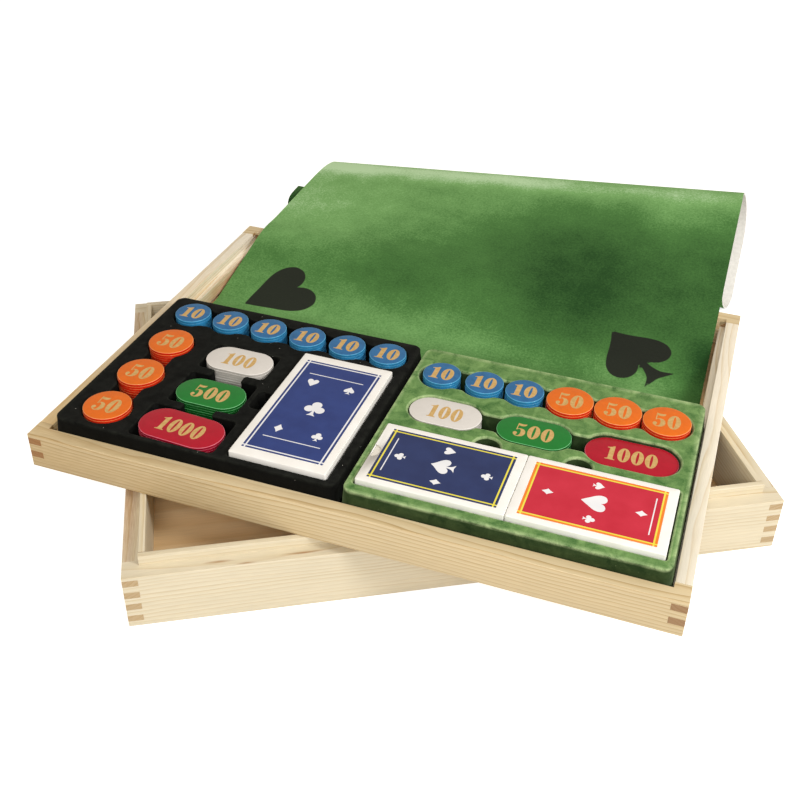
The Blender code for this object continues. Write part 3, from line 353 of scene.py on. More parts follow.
def makeObject(name, points, faces, slots, faceSlots=None, smoothAngle=35):
    mesh = bpy.data.meshes.new(name)
    mesh.from_pydata([tuple(c / 1000 for c in p) for p in points], [], faces)
    for finish in slots:
        mesh.materials.append(finishes[finish])
    if faceSlots is not None:
        mesh.polygons.foreach_set("material_index", faceSlots)
    mesh.shade_smooth()
    mesh.set_sharp_from_angle(angle=math.radians(smoothAngle))
    return placeObject(name, mesh)


def thicken(sheet, thickness):
    # a sheet's thickness, below or behind the face that was modelled
    solid = sheet.modifiers.new("sheet", "SOLIDIFY")
    solid.thickness = thickness / 1000
    solid.offset = -1


def settle(piece, body, slot, *nodes):
    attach(piece, body)
    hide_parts(*nodes)


def ringLoop(x0, x1, y0, y1, radius, inset=0.0, steps=8):
    # a rectangle's outline with round corners, anticlockwise
    loop = []
    radius = max(radius - inset, 0.02)
    corners = ((x1, y1, 1, 1), (x0, y1, -1, 1), (x0, y0, -1, -1), (x1, y0, 1, -1))
    for number, (x, y, sideX, sideY) in enumerate(corners):
        for step in range(steps + 1):
            angle = (number + step / steps) * math.pi / 2
            loop.append((x - sideX * (inset + radius) + radius * math.cos(angle),
                         y - sideY * (inset + radius) + radius * math.sin(angle)))
    return loop


class Patches:
    # points and faces gathered from several surfaces, each face with its material's number
    def __init__(self):
        self.points = []
        self.faces = []
        self.slots = []

    def ring(self, loop, z):
        start = len(self.points)
        self.points += [(x, y, z) for x, y in loop]
        return list(range(start, len(self.points)))

    def band(self, low, high, slot=0):
        count = len(low)
        for i in range(count):
            after = (i + 1) % count
            self.faces.append((low[i], low[after], high[after], high[i]))
            self.slots.append(slot)

    def rings(self, levels, slot=0, closeBelow=True):
        made = [self.ring(loop, z) for loop, z in levels]
        for low, high in zip(made, made[1:]):
            self.band(low, high, slot)
        if closeBelow:
            self.faces.append(made[0][::-1])
            self.slots.append(slot)
        return made

    def block(self, outline, low, high, radius):
        # a block with rounded edges; outline(inset) gives its loops; returned are the top ring and loop
        edge = [(radius * (1 - math.cos(t)), radius * (1 - math.sin(t))) for t in np.radians((0, 30, 60, 90))]
        levels = [(outline(inset), low + rise) for inset, rise in reversed(edge)]
        levels += [(outline(inset), high - rise) for inset, rise in edge]
        top = self.rings(levels)[-1]
        return top, [self.points[i][:2] for i in top]

    def flat(self, loops, extra, height, region):
        # triangles between outlines, kept and coloured by region(x, y); height gives z by outline
        corners = []
        edges = []
        heights = []
        for loop, z in zip(loops, height):
            start = len(corners)
            corners += loop
            heights += [z] * len(loop)
            edges += [(start + i, start + (i + 1) % len(loop)) for i in range(len(loop))]
        for x, y, z in extra:
            corners.append((x, y))
            heights.append(z)
        found = delaunay_2d_cdt([Vector(c) for c in corners], edges, [], 0, 1e-5)
        places, triangles, origin = found[0], found[2], found[3]
        start = len(self.points)
        for place, source in zip(places, origin):
            self.points.append((place[0], place[1], heights[source[0]] if source else heights[0]))
        for triangle in triangles:
            x = sum(places[i][0] for i in triangle) / 3
            y = sum(places[i][1] for i in triangle) / 3
            kind = region(x, y)
            if kind is None:
                continue
            self.faces.append([start + i for i in triangle])
            self.slots.append(kind)

    def make(self, name, slots, smoothAngle=35):
        made = makeObject(name, self.points, self.faces, slots, self.slots, smoothAngle)
        work = bmesh.new()
        work.from_mesh(made.data)
        bmesh.ops.remove_doubles(work, verts=work.verts, dist=2e-6)
        work.to_mesh(made.data)
        work.free()
        return made


def inside(loop, x, y):
    hit = False
    for (ax, ay), (bx, by) in zip(loop, loop[1:] + loop[:1]):
        if (ay > y) != (by > y) and x < (bx - ax) * (y - ay) / (by - ay) + ax:
            hit = not hit
    return hit


# ---- Wooden boxes: the solids' own boards, joints closed to a hairline, long edges eased

boards = {
    "length": 410.0, "width": 310.0, "wall": 13.8, "solidGap": 0.3, "seenGap": 0.05, "easing": 0.4,
    # where each box's middle stands, its turn, and the side walls' fingers
    "cover": {"middle": (0, 0), "turn": 30, "base": 0.0, "height": 39.0,
              "first": 2.2, "finger": 4.65, "space": 4.65},
    "box": {"middle": (3.2, -19.4), "turn": 0, "base": 45.7, "height": 25.0,
            "first": 2.6, "finger": 4.8, "space": 5.2},
    # the tree's heart beside each board, across and up from the board's middle
    "hearts": {
        "cover_front_wall": (35, -75), "cover_back_wall": (-30, 90), "cover_left_wall": (45, 80),
        "cover_right_wall": (-25, -95), "cover_bottom_panel": (40, -160),
        "box_front_wall": (-38, -88), "box_back_wall": (24, 70), "box_left_wall": (30, -70),
        "box_right_wall": (-45, 85), "box_bottom_panel": (-60, 150),
    },
    # how deep the side walls' tongues show on the front and back faces, and the least edge that is eased
    "tongue": 9.1, "longEdge": 50,
    # brown streaks by knots on the front ledge, and painted shade in warm tones on the other boards:
    # tone, place from the board's middle, then half length, width and height
    "streaksAndShade": {
        "cover_front_wall": (
            ("#b98550", -150, -1.9, 16.3, 10, 1.4, 2.2), ("#b98550", -100, -2.5, 16.3, 15, 1.2, 1.6),
            ("#b98550", -134, -5.5, 16.3, 7, 0.8, 1.0)),
        # painted shade: the left ledge, in the shadow of the upper box, darkened to a warm brown
        "cover_left_wall": (("#c68134", 0, 4.5, 18.0, 210, 8.0, 9.5),),
        # painted shade: a strip of the left wall's inside beside the mat, and the wall's front part, darker and
        # warmer
        "box_left_wall": (("#d09a52", 95, -6.9, -2.0, 90, 4.0, 12.0), ("#ffdf9c", -155, 0, 8.0, 260, 40, 60)),
        # painted shade: the front darker towards its left end, where less light falls
        "box_front_wall": (("#e0d3ba", -205, 0, -10.0, 165, 40, 45),),
    },
    "looks": {"plywood": plyLook, "pine": pineLook, "palePine": paleLook, "creamPine": creamLook},
}


def fingerEdges(box):
    count = int((box["height"] - box["first"] - box["finger"]) / (box["finger"] + box["space"])) + 1
    edges = []
    for i in range(count):
        top = box["base"] + box["height"] - box["first"] - i * (box["finger"] + box["space"])
        edges.append((top - box["finger"], top))
    return edges


def near(value, place):
    return abs(value - place) < 0.05


def easedBoard(node, tag):
    box = boards[tag]
    turn = Matrix.Rotation(math.radians(box["turn"]), 4, "Z")
    toBox = (Matrix.Translation((box["middle"][0] / 1000, box["middle"][1] / 1000, 0)) @ turn).inverted()
    work = bmesh.new()
    work.from_mesh(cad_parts[node].data)
    bmesh.ops.remove_doubles(work, verts=work.verts, dist=1e-6)
    bmesh.ops.transform(work, matrix=toBox, verts=work.verts)
    wall, gap = boards["wall"], boards["solidGap"]
    closing = gap - boards["seenGap"]
    along = node.endswith(("front_wall", "back_wall", "panel"))
    half = (boards["length"] / 2, boards["width"] / 2)
    axis = 0 if along else 1
    for corner in work.verts if "wall" in node else ():
        x, y, z = (c * 1000 for c in corner.co)
        if near(abs((x, y)[axis]), half[axis] - wall - gap):
            corner.co[axis] += math.copysign(closing, (x, y)[axis]) / 1000
        shorter = math.copysign(wall - boards["tongue"], x) / 1000
        if along:
            for low, high in fingerEdges(box):
                atLow, atHigh = near(z, low - gap), near(z, high + gap)
                corner.co[2] += (atLow - atHigh) * closing / 1000
                if (atLow or atHigh) and near(abs(x), half[0] - wall - gap):
                    corner.co[0] += shorter
        elif near(abs(y), half[1]) and near(abs(x), half[0] - wall):
            corner.co[0] += shorter
    bmesh.ops.dissolve_limit(work, angle_limit=math.radians(1), verts=work.verts, edges=work.edges)
    longEdges = [
        e for e in work.edges
        if e.calc_length() > boards["longEdge"] / 1000 and abs(e.verts[0].co.z - e.verts[1].co.z) < 1e-5
        and len(e.link_faces) == 2 and e.calc_face_angle(0) > 1
    ]
    bmesh.ops.bevel(work, geom=longEdges, offset=boards["easing"] / 1000, segments=3, profile=0.5,
                    affect="EDGES", clamp_overlap=True)
    low = [min(v.co[a] for v in work.verts) for a in range(3)]
    high = [max(v.co[a] for v in work.verts) for a in range(3)]
    middle = Vector([(a + b) / 2 for a, b in zip(low, high)])
    across, up = boards["hearts"][node]
    # the piece's own X runs along the grain, and its origin lies in the heart of the tree
    grain = Matrix.Identity(4) if along else Matrix.Rotation(math.radians(90), 4, "Z")
    heart = middle + (grain @ Vector((0, across / 1000, up / 1000)))
    local = Matrix.Translation(heart) @ grain
    bmesh.ops.transform(work, matrix=local.inverted(), verts=work.verts)
    mesh = bpy.data.meshes.new(f"{node}_board")
    work.to_mesh(mesh)
    work.free()
    slot = "plywood" if "panel" in node else "pine"
    finish = slot
    if slot == "pine" and tag == "cover":
        finish = "creamPine"
    elif slot == "pine" and not along:
        finish = "palePine"
    # knot streaks, and on some boards painted shade, darken the board's own pine
    if node in boards["streaksAndShade"]:
        streaksAndShade = [(tone, x, y - across, z - up, *sizes) for tone, x, y, z, *sizes in boards["streaksAndShade"][node]]
        look = dict(boards["looks"][finish], streaksAndShade=streaksAndShade)
        finish = f"{node}Pine"
        finishes[finish] = planedPine(f"pineStreakedShaded_{node}", look)
    mesh.materials.append(finishes[finish])
    mesh.polygons.foreach_set("material_index", [0] * len(mesh.polygons))
    mesh.shade_smooth()
    mesh.set_sharp_from_angle(angle=math.radians(30))
    board = placeObject(f"{node}_board", mesh)
    board.matrix_world = toBox.inverted() @ local
    settle(board, tag, slot, node)


for node in boards["hearts"]:
    easedBoard(node, node.split("_")[0])
print("boards made")


# ---- Moulded trays: one sheet with rounded lips, walls and floors

trays = {
    "top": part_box("black_tray")[1][2] * 1000,
    "skirtBottom": 64.0, "lean": 1.5, "frontLean": 0.5, "outerRound": 0.6, "corner": 6.0, "sheet": 0.7,
    "wornBand": 1.6, "bulge": 0.05,  # the worn strip below the outer edge, and how far out its foot is
    "join": 1.8,  # how softly wells run into each other
    "floorRound": 1.5, "grid": 0.6, "spacing": 0.9, "hemPoints": 40,
    # the flat land between the wells is slightly wavy: height, size, and the points that carry it
    "wave": 0.12, "waveSize": 17, "landStep": 4.0, "landRoom": 0.8,
    "black": {
        "node": "black_tray", "body": "left_tray", "finish": "blackFlock", "lip": 1.2,
        # depth, then left, right, front, back and corner radius of each rounded well
        "wells": (
            (28.5, [(x - 14.3, x + 14.3, -39.2, -10.6, 14.3) for x in np.arange(-166.25, -16, 30)]
             + [(-166.25, -16.25, -34.65, -15.15, 0.5)]),
            (28.5, [(-177.9, -145.8, y - 16.05, y + 16.05, 16.05) for y in (-63.95, -103.65, -143.4)]
             + [(-171.25, -152.45, -143.4, -63.95, 0.5)]),
            (15.0, [(-137.35, -78.55, -161.0, -127.8, 3), (-132.35, -83.55, -121.4, -87.8, 3),
                    (-132.35, -83.55, -80.6, -52.2, 3), (-118.95, -96.95, -144, -66, 0.5)]),
            (23.4, [(-69.6, -4.5, -159.5, -44.1, 1.5), (-80.1, -59.1, -111.05, -92.55, 4)]),
        ),
    },
    "green": {
        "node": "green_tray", "body": "right_tray", "finish": "greenFlock", "lip": 1.7,
        "wells": (
            (28.5, [(x - r, x + r, -34.2 - r, -34.2 + r, r) for x, r in (
                (25.13, 14.3), (54.13, 14.3), (83.13, 14.3), (113.03, 16.05), (144.13, 16.05), (175.23, 16.05))]
             + [(25.13, 175.23, -43.95, -24.45, 0.5)]),
            (16.0, [(x - half, x + half, -72.1 - deep, -72.1 + deep, deep) for x, half, deep in (
                (40.5, 24.4, 14.2), (98.4, 24.4, 14.2), (159.6, 29.4, 15.3))]
             + [(40.5, 159.6, -79.45, -64.75, 0.5)]),
            (15.0, [(10.4, 192.5, -156, -97.1, 1.5), (66.1, 82.9, -103.9, -87.1, 8.4),
                    (122.9, 139.7, -103.9, -87.1, 8.4)]),
        ),
    },
}


def wellDistance(shapes, x, y):
    # distance to the joined wells, negative inside them
    join = trays["join"]
    total = None
    for x0, x1, y0, y1, r in shapes:
        dx = np.abs(x - (x0 + x1) / 2) - (x1 - x0) / 2 + r
        dy = np.abs(y - (y0 + y1) / 2) - (y1 - y0) / 2 + r
        one = np.hypot(np.maximum(dx, 0), np.maximum(dy, 0)) + np.minimum(np.maximum(dx, dy), 0) - r
        if total is None:
            total = one
            continue
        share = np.clip(0.5 + 0.5 * (total - one) / join, 0, 1)
        total = total + (one - total) * share - join * share * (1 - share)
    return total


def lengthsAlong(points):
    return np.concatenate([[0], np.cumsum(np.hypot(*np.diff(points, axis=0).T))])


def contours(values, xs, ys, level, spacing):
    # closed outlines of one level in a grid of values, as evenly spaced points
    below = values < level
    joined = {}
    places = {}

    def crossing(kind, i, j):
        key = (kind, i, j)
        if key not in places:
            i2, j2 = (i + 1, j) if kind == "x" else (i, j + 1)
            a, b = values[i, j], values[i2, j2]
            t = (level - a) / (b - a)
            places[key] = (xs[i] + (xs[i2] - xs[i]) * t, ys[j] + (ys[j2] - ys[j]) * t)
        return key

    mixed = below[:-1, :-1].astype(int) + below[1:, :-1] + below[1:, 1:] + below[:-1, 1:]
    for i, j in np.argwhere((mixed > 0) & (mixed < 4)):
        corners = (below[i, j], below[i + 1, j], below[i + 1, j + 1], below[i, j + 1])
        sides = (("x", i, j), ("y", i + 1, j), ("x", i, j + 1), ("y", i, j))
        hits = [crossing(*side) for side, a, b in zip(sides, corners, corners[1:] + corners[:1]) if a != b]
        for one, other in zip(hits[::2], hits[1::2]):
            joined.setdefault(one, []).append(other)
            joined.setdefault(other, []).append(one)
    loops = []
    while joined:
        start = next(iter(joined))
        path = [start]
        here = joined.pop(start)[0]
        while here != start:
            onward = [k for k in joined.pop(here) if k != path[-1]]
            path.append(here)
            here = onward[0]
        points = np.array([places[k] for k in path])
        closed = np.vstack([points, points[:1]])
        travelled = lengthsAlong(closed)
        count = max(12, round(travelled[-1] / spacing))
        at = np.arange(count) * travelled[-1] / count
        loops.append([(float(x), float(y)) for x, y in zip(
            np.interp(at, travelled, closed[:, 0]), np.interp(at, travelled, closed[:, 1]))])
    return loops


def mouldedTray(tag):
    tray = trays[tag]
    low, high = (c * 1000 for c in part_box(tray["node"]))
    top = trays["top"]
    lean = trays["lean"]
    x0, x1, y0, y1 = low.x + lean, high.x - lean, low.y + trays["frontLean"], high.y - lean
    xs = np.arange(x0 - 1, x1 + 1, trays["grid"])
    ys = np.arange(y0 - 1, y1 + 1, trays["grid"])
    gridX, gridY = np.meshgrid(xs, ys, indexing="ij")
    lip = tray["lip"]
    foot = trays["floorRound"]
    patches = Patches()
    edgeShare = {}

    # outer skirt, from the lower edge up over the rounded outer edge
    outer = trays["outerRound"]
    skirt = [(ringLoop(low.x, high.x, low.y, high.y, trays["corner"], 0, 6), trays["skirtBottom"]),
             (ringLoop(x0, x1, y0, y1, trays["corner"], -trays["bulge"], 6), top - outer - trays["wornBand"])]
    for t in np.radians((0, 30, 60, 90)):
        inset = outer * (1 - math.cos(t))
        skirt.append((ringLoop(x0, x1, y0, y1, trays["corner"], inset, 6), top - outer + outer * math.sin(t)))
    rings = patches.rings(skirt, closeBelow=False)
    for ring in rings[2:]:
        for i in ring:
            edgeShare[tuple(round(c, 2) for c in patches.points[i])] = 1.0
    border = [patches.points[i][:2] for i in rings[-1]]

    fields = [(depth, shapes, wellDistance(shapes, gridX, gridY)) for depth, shapes in tray["wells"]]
    loops = [border]
    heights = [top]
    for *_, field in fields:
        for angle in (0, 25, 50, 75, 90):
            t = math.radians(angle)
            found = contours(field, xs, ys, lip * (1 - math.sin(t)), trays["spacing"])
            z = top - lip + lip * math.cos(t)
            loops += found
            heights += [z] * len(found)
            if 0 < angle < 90:
                for loop in found:
                    for x, y in loop:
                        edgeShare[round(x, 2), round(y, 2), round(z, 2)] = 1.0

    def onLand(x, y, room=0.0):
        return all(float(wellDistance(shapes, x, y)) > room for _, shapes, _ in fields)

    def landRegion(x, y):
        return 0 if inside(border, x, y) and onLand(x, y) else None

    step, size = trays["landStep"], trays["waveSize"]
    inner = [
        (x, y, top + trays["wave"] * (noise.noise((x / size, y / size, 3)) - 0.5))
        for x in np.arange(x0 + 3, x1 - 2, step) for y in np.arange(y0 + 3, y1 - 2, step)
        if onLand(x, y, lip + trays["landRoom"])
    ]
    patches.flat(loops, inner, heights, landRegion)

    # walls and floors
    for depth, shapes, field in fields:
        floor = top - depth
        for loop in contours(field, xs, ys, 0.0, trays["spacing"]):
            patches.rings([(loop, z) for z in (floor + foot, (floor + top) / 2, top - lip)], closeBelow=False)
        levels = []
        floorHeights = []
        for angle in (0, 30, 60, 90):
            t = math.radians(angle)
            found = contours(field, xs, ys, -foot * (1 - math.cos(t)), trays["spacing"])
            levels += found
            floorHeights += [floor + foot * (1 - math.sin(t))] * len(found)
        patches.flat(levels, [], floorHeights,
                     lambda x, y: 0 if float(wellDistance(shapes, x, y)) < 0 else None)
    # the back skirt hangs down to the box's floor
    count = trays["hemPoints"]
    start = len(patches.points)
    for z in (trays["skirtBottom"], low.z + trays["sheet"]):
        patches.points += [
            (x, high.y, z) for x in np.linspace(low.x + trays["corner"], high.x - trays["corner"], count)]
    for i in range(start, start + count - 1):
        patches.faces.append((i, i + 1, i + count + 1, i + count))
        patches.slots.append(0)
    made = patches.make(f"{tag}_tray_sheet", [tray["finish"]], 60)
    work = bmesh.new()
    work.from_mesh(made.data)
    bmesh.ops.recalc_face_normals(work, faces=work.faces)
    if sum(f.normal.z * f.calc_area() for f in work.faces) < 0:
        bmesh.ops.reverse_faces(work, faces=work.faces)
    work.to_mesh(made.data)
    work.free()
    made.data.shade_smooth()
    values = [edgeShare.get(tuple(round(c * 1000, 2) for c in v.co), 0.0) for v in made.data.vertices]
    made.data.attributes.new("edge", "FLOAT", "POINT").data.foreach_set("value", values)
    thicken(made, trays["sheet"])
    settle(made, tray["body"], "black_flock" if tag == "black" else "green_flock", tray["node"])
    return made


for tag in ("black", "green"):
    made = mouldedTray(tag)
    print(tag, "tray made:", len(made.data.polygons), "faces")


# ---- Digits in a fat-faced serif, drawn here one unit tall


def oval(middleX, middleY, halfX, halfY, count):
    return [(middleX + halfX * math.cos(t), middleY + halfY * math.sin(t))
            for t in np.linspace(0, 2 * math.pi, count, False)]


# each digit's width and outlines
digits = {
    "0": [0.62, [oval(0.31, 0.5, 0.31, 0.51, 40), oval(0.31, 0.5, 0.065, 0.42, 28)]],
    "1": [0.52, [[(0.02, 0.0), (0.52, 0.0), (0.52, 0.045), (0.45, 0.06), (0.415, 0.1), (0.405, 0.16),
                  (0.405, 1.0), (0.33, 1.0), (0.26, 0.945), (0.16, 0.9), (0.03, 0.875), (0.03, 0.83),
                  (0.12, 0.83), (0.145, 0.82), (0.155, 0.79), (0.155, 0.16), (0.145, 0.1), (0.1, 0.06),
                  (0.02, 0.045)]]],
    "5": [0.6, [[(0.095, 0.47), (0.1, 0.99), (0.22, 0.962), (0.34, 0.957), (0.45, 0.972), (0.535, 1.0),
                 (0.525, 0.91), (0.48, 0.845), (0.39, 0.805), (0.28, 0.8), (0.145, 0.83), (0.145, 0.55),
                 (0.22, 0.595), (0.33, 0.61), (0.46, 0.575), (0.555, 0.47), (0.595, 0.31), (0.565, 0.16),
                 (0.47, 0.045), (0.31, -0.012), (0.17, 0.0), (0.06, 0.06), (0.005, 0.15), (0.0, 0.23),
                 (0.04, 0.295), (0.11, 0.315), (0.18, 0.285), (0.21, 0.215), (0.19, 0.15), (0.15, 0.11),
                 (0.17, 0.065), (0.23, 0.04), (0.29, 0.06), (0.335, 0.14), (0.355, 0.29), (0.34, 0.44),
                 (0.3, 0.525), (0.24, 0.552), (0.18, 0.53), (0.13, 0.475)]]],
}


def numberLoops(text, width, height):
    # outlines of a number, centred on the origin
    gap = 0.07
    total = sum(digits[d][0] for d in text) + gap * (len(text) - 1)
    loops = []
    start = 0.0
    for digit in text:
        for outline in digits[digit][1]:
            loops.append([(((x + start) / total - 0.5) * width, (y - 0.5) * height) for x, y in outline])
        start += digits[digit][0] + gap
    return loops


# ---- Chips and plaques

chips = {
    "thickness": 1.9, "seam": 0.03, "edgeRound": 0.16, "topRound": 0.42, "segments": 56,
    # how far off the middle a chip lies, and how far it is turned, in degrees
    "jitter": 0.14, "spin": 0.4,
    # by value: finish, slot, the chip's size and its number's size
    "kinds": {
        "10": ("blueResin", "blue_chip", (25.4, 25.4), (16.0, 13.2)),
        "50": ("orangeResin", "orange_chip", (30.5, 30.5), (17.0, 14.4)),
        "100": ("whiteResin", "white_chip", (47.4, 27.0), (22.5, 13.6)),
        "500": ("greenResin", "green_chip", (47.4, 27.0), (25.0, 13.4)),
        "1000": ("redResin", "red_chip", (57.4, 29.2), (31.5, 13.6)),
    },
}


def chipStack(node, body, value, count, turn=0.0, shift=0.0, drop=0.0):
    # drop is how much lower a stack of slightly thinner plaques is
    finish, slot, (length, width), numberSize = chips["kinds"][value]
    thickness = chips["thickness"] - drop / count
    low, high = (c * 1000 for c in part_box(node))
    middleX, middleY = (low.x + high.x) / 2, (low.y + high.y) / 2 + shift
    lots = random.Random(node)
    steps = chips["segments"] // 4
    patches = Patches()
    for number in range(count):
        isTop = number == count - 1
        radius = chips["topRound"] if isTop else chips["edgeRound"]
        base = low.z + number * thickness
        ceiling = base + thickness - (0 if isTop else chips["seam"])
        dx, dy = (0, 0) if isTop else (lots.uniform(-1, 1) * chips["jitter"] for _ in range(2))
        spin = math.radians(turn + (0 if isTop else lots.uniform(-chips["spin"], chips["spin"])))

        def placed(loop):
            return [(middleX + dx + x * math.cos(spin) - y * math.sin(spin),
                     middleY + dy + x * math.sin(spin) + y * math.cos(spin)) for x, y in loop]

        def outline(inset):
            # where a straight side has no length, one of its two ends goes
            loop = ringLoop(-length / 2, length / 2, -width / 2, width / 2, width / 2, inset, steps)
            return placed([p for p, after in zip(loop, loop[1:] + loop[:1]) if math.dist(p, after) > 1e-4])

        topRing, border = patches.block(outline, base, ceiling, radius)
        if isTop:
            shapes = [placed(loop) for loop in numberLoops(value, *numberSize)]
            patches.flat([border] + shapes, [], [ceiling] * (len(shapes) + 1),
                         lambda x, y: sum(inside(loop, x, y) for loop in shapes) % 2)
        else:
            patches.faces.append(topRing)
            patches.slots.append(0)
    made = patches.make(f"{node}_chips", [finish, "foil"], 40)
    settle(made, body, slot, node)


for number in range(1, 7):
    chipStack(f"black_tray_10_stack_{number}", f"left_10_stack_{number}", "10", 16)
for number in range(1, 4):
    chipStack(f"black_tray_50_stack_{number}", f"left_50_stack_{number}", "50", 16)
    chipStack(f"green_tray_10_stack_{number}", f"right_10_stack_{number}", "10", 16)
    chipStack(f"green_tray_50_stack_{number}", f"right_50_stack_{number}", "50", 16)
for value in ("100", "500", "1000"):
    loose = value == "1000"
    turn, shift, drop = (-3.5, -0.7, 0.5) if loose else (0, 0, 0)
    chipStack(f"black_tray_{value}_plaques", f"left_{value}_plaques", value, 8, turn, shift, drop)
    chipStack(f"green_tray_{value}_plaques", f"right_{value}_plaques", value, 7 if loose else 8)
print("chips made")


# ---- Card suits, as outlines one unit tall about the origin


def mirrored(right):
    return right + [(-x, y) for x, y in reversed(right) if abs(x) > 1e-6]


def curved(points):
    # the same points with smooth curves between them
    ends = [points[0]] + points + [points[-1]]
    fine = []
    for p0, p1, p2, p3 in zip(ends, ends[1:], ends[2:], ends[3:]):
        for step in range(16):
            t = step / 16
            fine.append(tuple(
                (2 * b + (c - a) * t + (2 * a - 5 * b + 4 * c - d) * t * t
                 + (3 * b - a - 3 * c + d) * t ** 3) / 2 for a, b, c, d in zip(p0, p1, p2, p3)))
    return fine + [points[-1]]


def arc(cx, cy, r, start, end, count):
    return [(cx + r * math.cos(math.radians(a)), cy + r * math.sin(math.radians(a)))
            for a in np.linspace(start, end, count)]


suits = {
    "heart": mirrored(curved([
        (0.0, -0.5), (0.115, -0.36), (0.235, -0.2), (0.36, -0.04), (0.44, 0.1), (0.47, 0.24),
        (0.435, 0.38), (0.34, 0.455), (0.235, 0.475), (0.12, 0.44), (0.035, 0.36), (0.0, 0.27)])),
    "spade": mirrored(curved([(0.0, 0.5), (0.09, 0.38), (0.2, 0.265), (0.32, 0.15), (0.41, 0.03), (0.44, -0.09),
                              (0.4, -0.2), (0.3, -0.26), (0.18, -0.25), (0.09, -0.19), (0.045, -0.13)])
                      + curved([(0.055, -0.24), (0.105, -0.38), (0.235, -0.5)]) + [(0.0, -0.455)]),
    "diamond": mirrored([
        (0.0, 0.5), (0.1, 0.33), (0.22, 0.15), (0.37, 0.0), (0.22, -0.15), (0.1, -0.33), (0.0, -0.5)]),
    "club": mirrored(arc(0.0, 0.27, 0.22, 90, -35, 9) + arc(0.235, -0.04, 0.215, 110, -150, 13)
                     + [(0.045, -0.18), (0.08, -0.36), (0.19, -0.5), (0.0, -0.47)]),
}


def suitLoop(name, size, x, y, turn=0.0):
    c, s = math.cos(math.radians(turn)), math.sin(math.radians(turn))
    return [(x + size * (px * c - py * s), y + size * (px * s + py * c)) for px, py in suits[name]]


# ---- Card cartons: coated board shells with printed panels

cartons = {
    "edge": 0.6, "corner": 1.1, "board": 0.45, "line": 1.0, "lineInset": 2.0, "ruleHalf": 0.35,
    "thumb": {"radius": 5.9, "depth": 0.75},
    # for each carton: the panel's distance from the edges, its inks (ground, lines, motifs), the ink
    # outside the lines, the side with the thumb cut, and the axis that runs from end to end;
    # then suit, size, place and turn of each motif, and start, end and place of each rule
    "tarot_carton": {
        "body": "tarot_cards", "turn": 0, "panel": (5.2, 7.2), "inks": ("blueInk", "whiteInk", "whiteInk"),
        "band": None, "cutAt": None, "ends": "y",
        "motifs": (("club", 15, 0, 0, 0), ("heart", 8, -13, 26, 0), ("spade", 8, 13, 26, 0),
                   ("diamond", 8, -13, -26, 0), ("club", 8, 13, -26, 0)),
        "rules": ((-19, 19, 35.5), (-19, 19, -35.5)),
    },
    "blue_carton": {
        "body": "blue_cards", "turn": 90, "panel": (5.8, 4.5), "inks": ("navyInk", "yellowInk", "whiteInk"),
        "band": None, "cutAt": -1, "ends": "x",
        "motifs": (("spade", 15, 0, 0, 90), ("heart", 7, 0, 15, 90), ("diamond", 7, 0, -15, 90),
                   ("club", 7, -27, 0, 90), ("club", 7, 27, 0, 90)),
        "rules": ((-16, 16, -33.5),),
    },
    "red_carton": {
        "body": "red_cards", "turn": -90, "panel": (5.8, 4.5), "inks": ("redInk", "yellowInk", "whiteInk"),
        "band": "orangeInk", "cutAt": None, "ends": "x",
        "motifs": (("heart", 15, 0, 0, -90), ("spade", 7, 0, 15, -90), ("club", 7, 0, -15, -90),
                   ("diamond", 7, -27, 0, -90), ("diamond", 7, 27, 0, -90)),
        "rules": ((-16, 16, 33.5),),
    },
}


def boxLoop(x0, x1, y0, y1):
    return [(x1, y1), (x0, y1), (x0, y0), (x1, y0)]


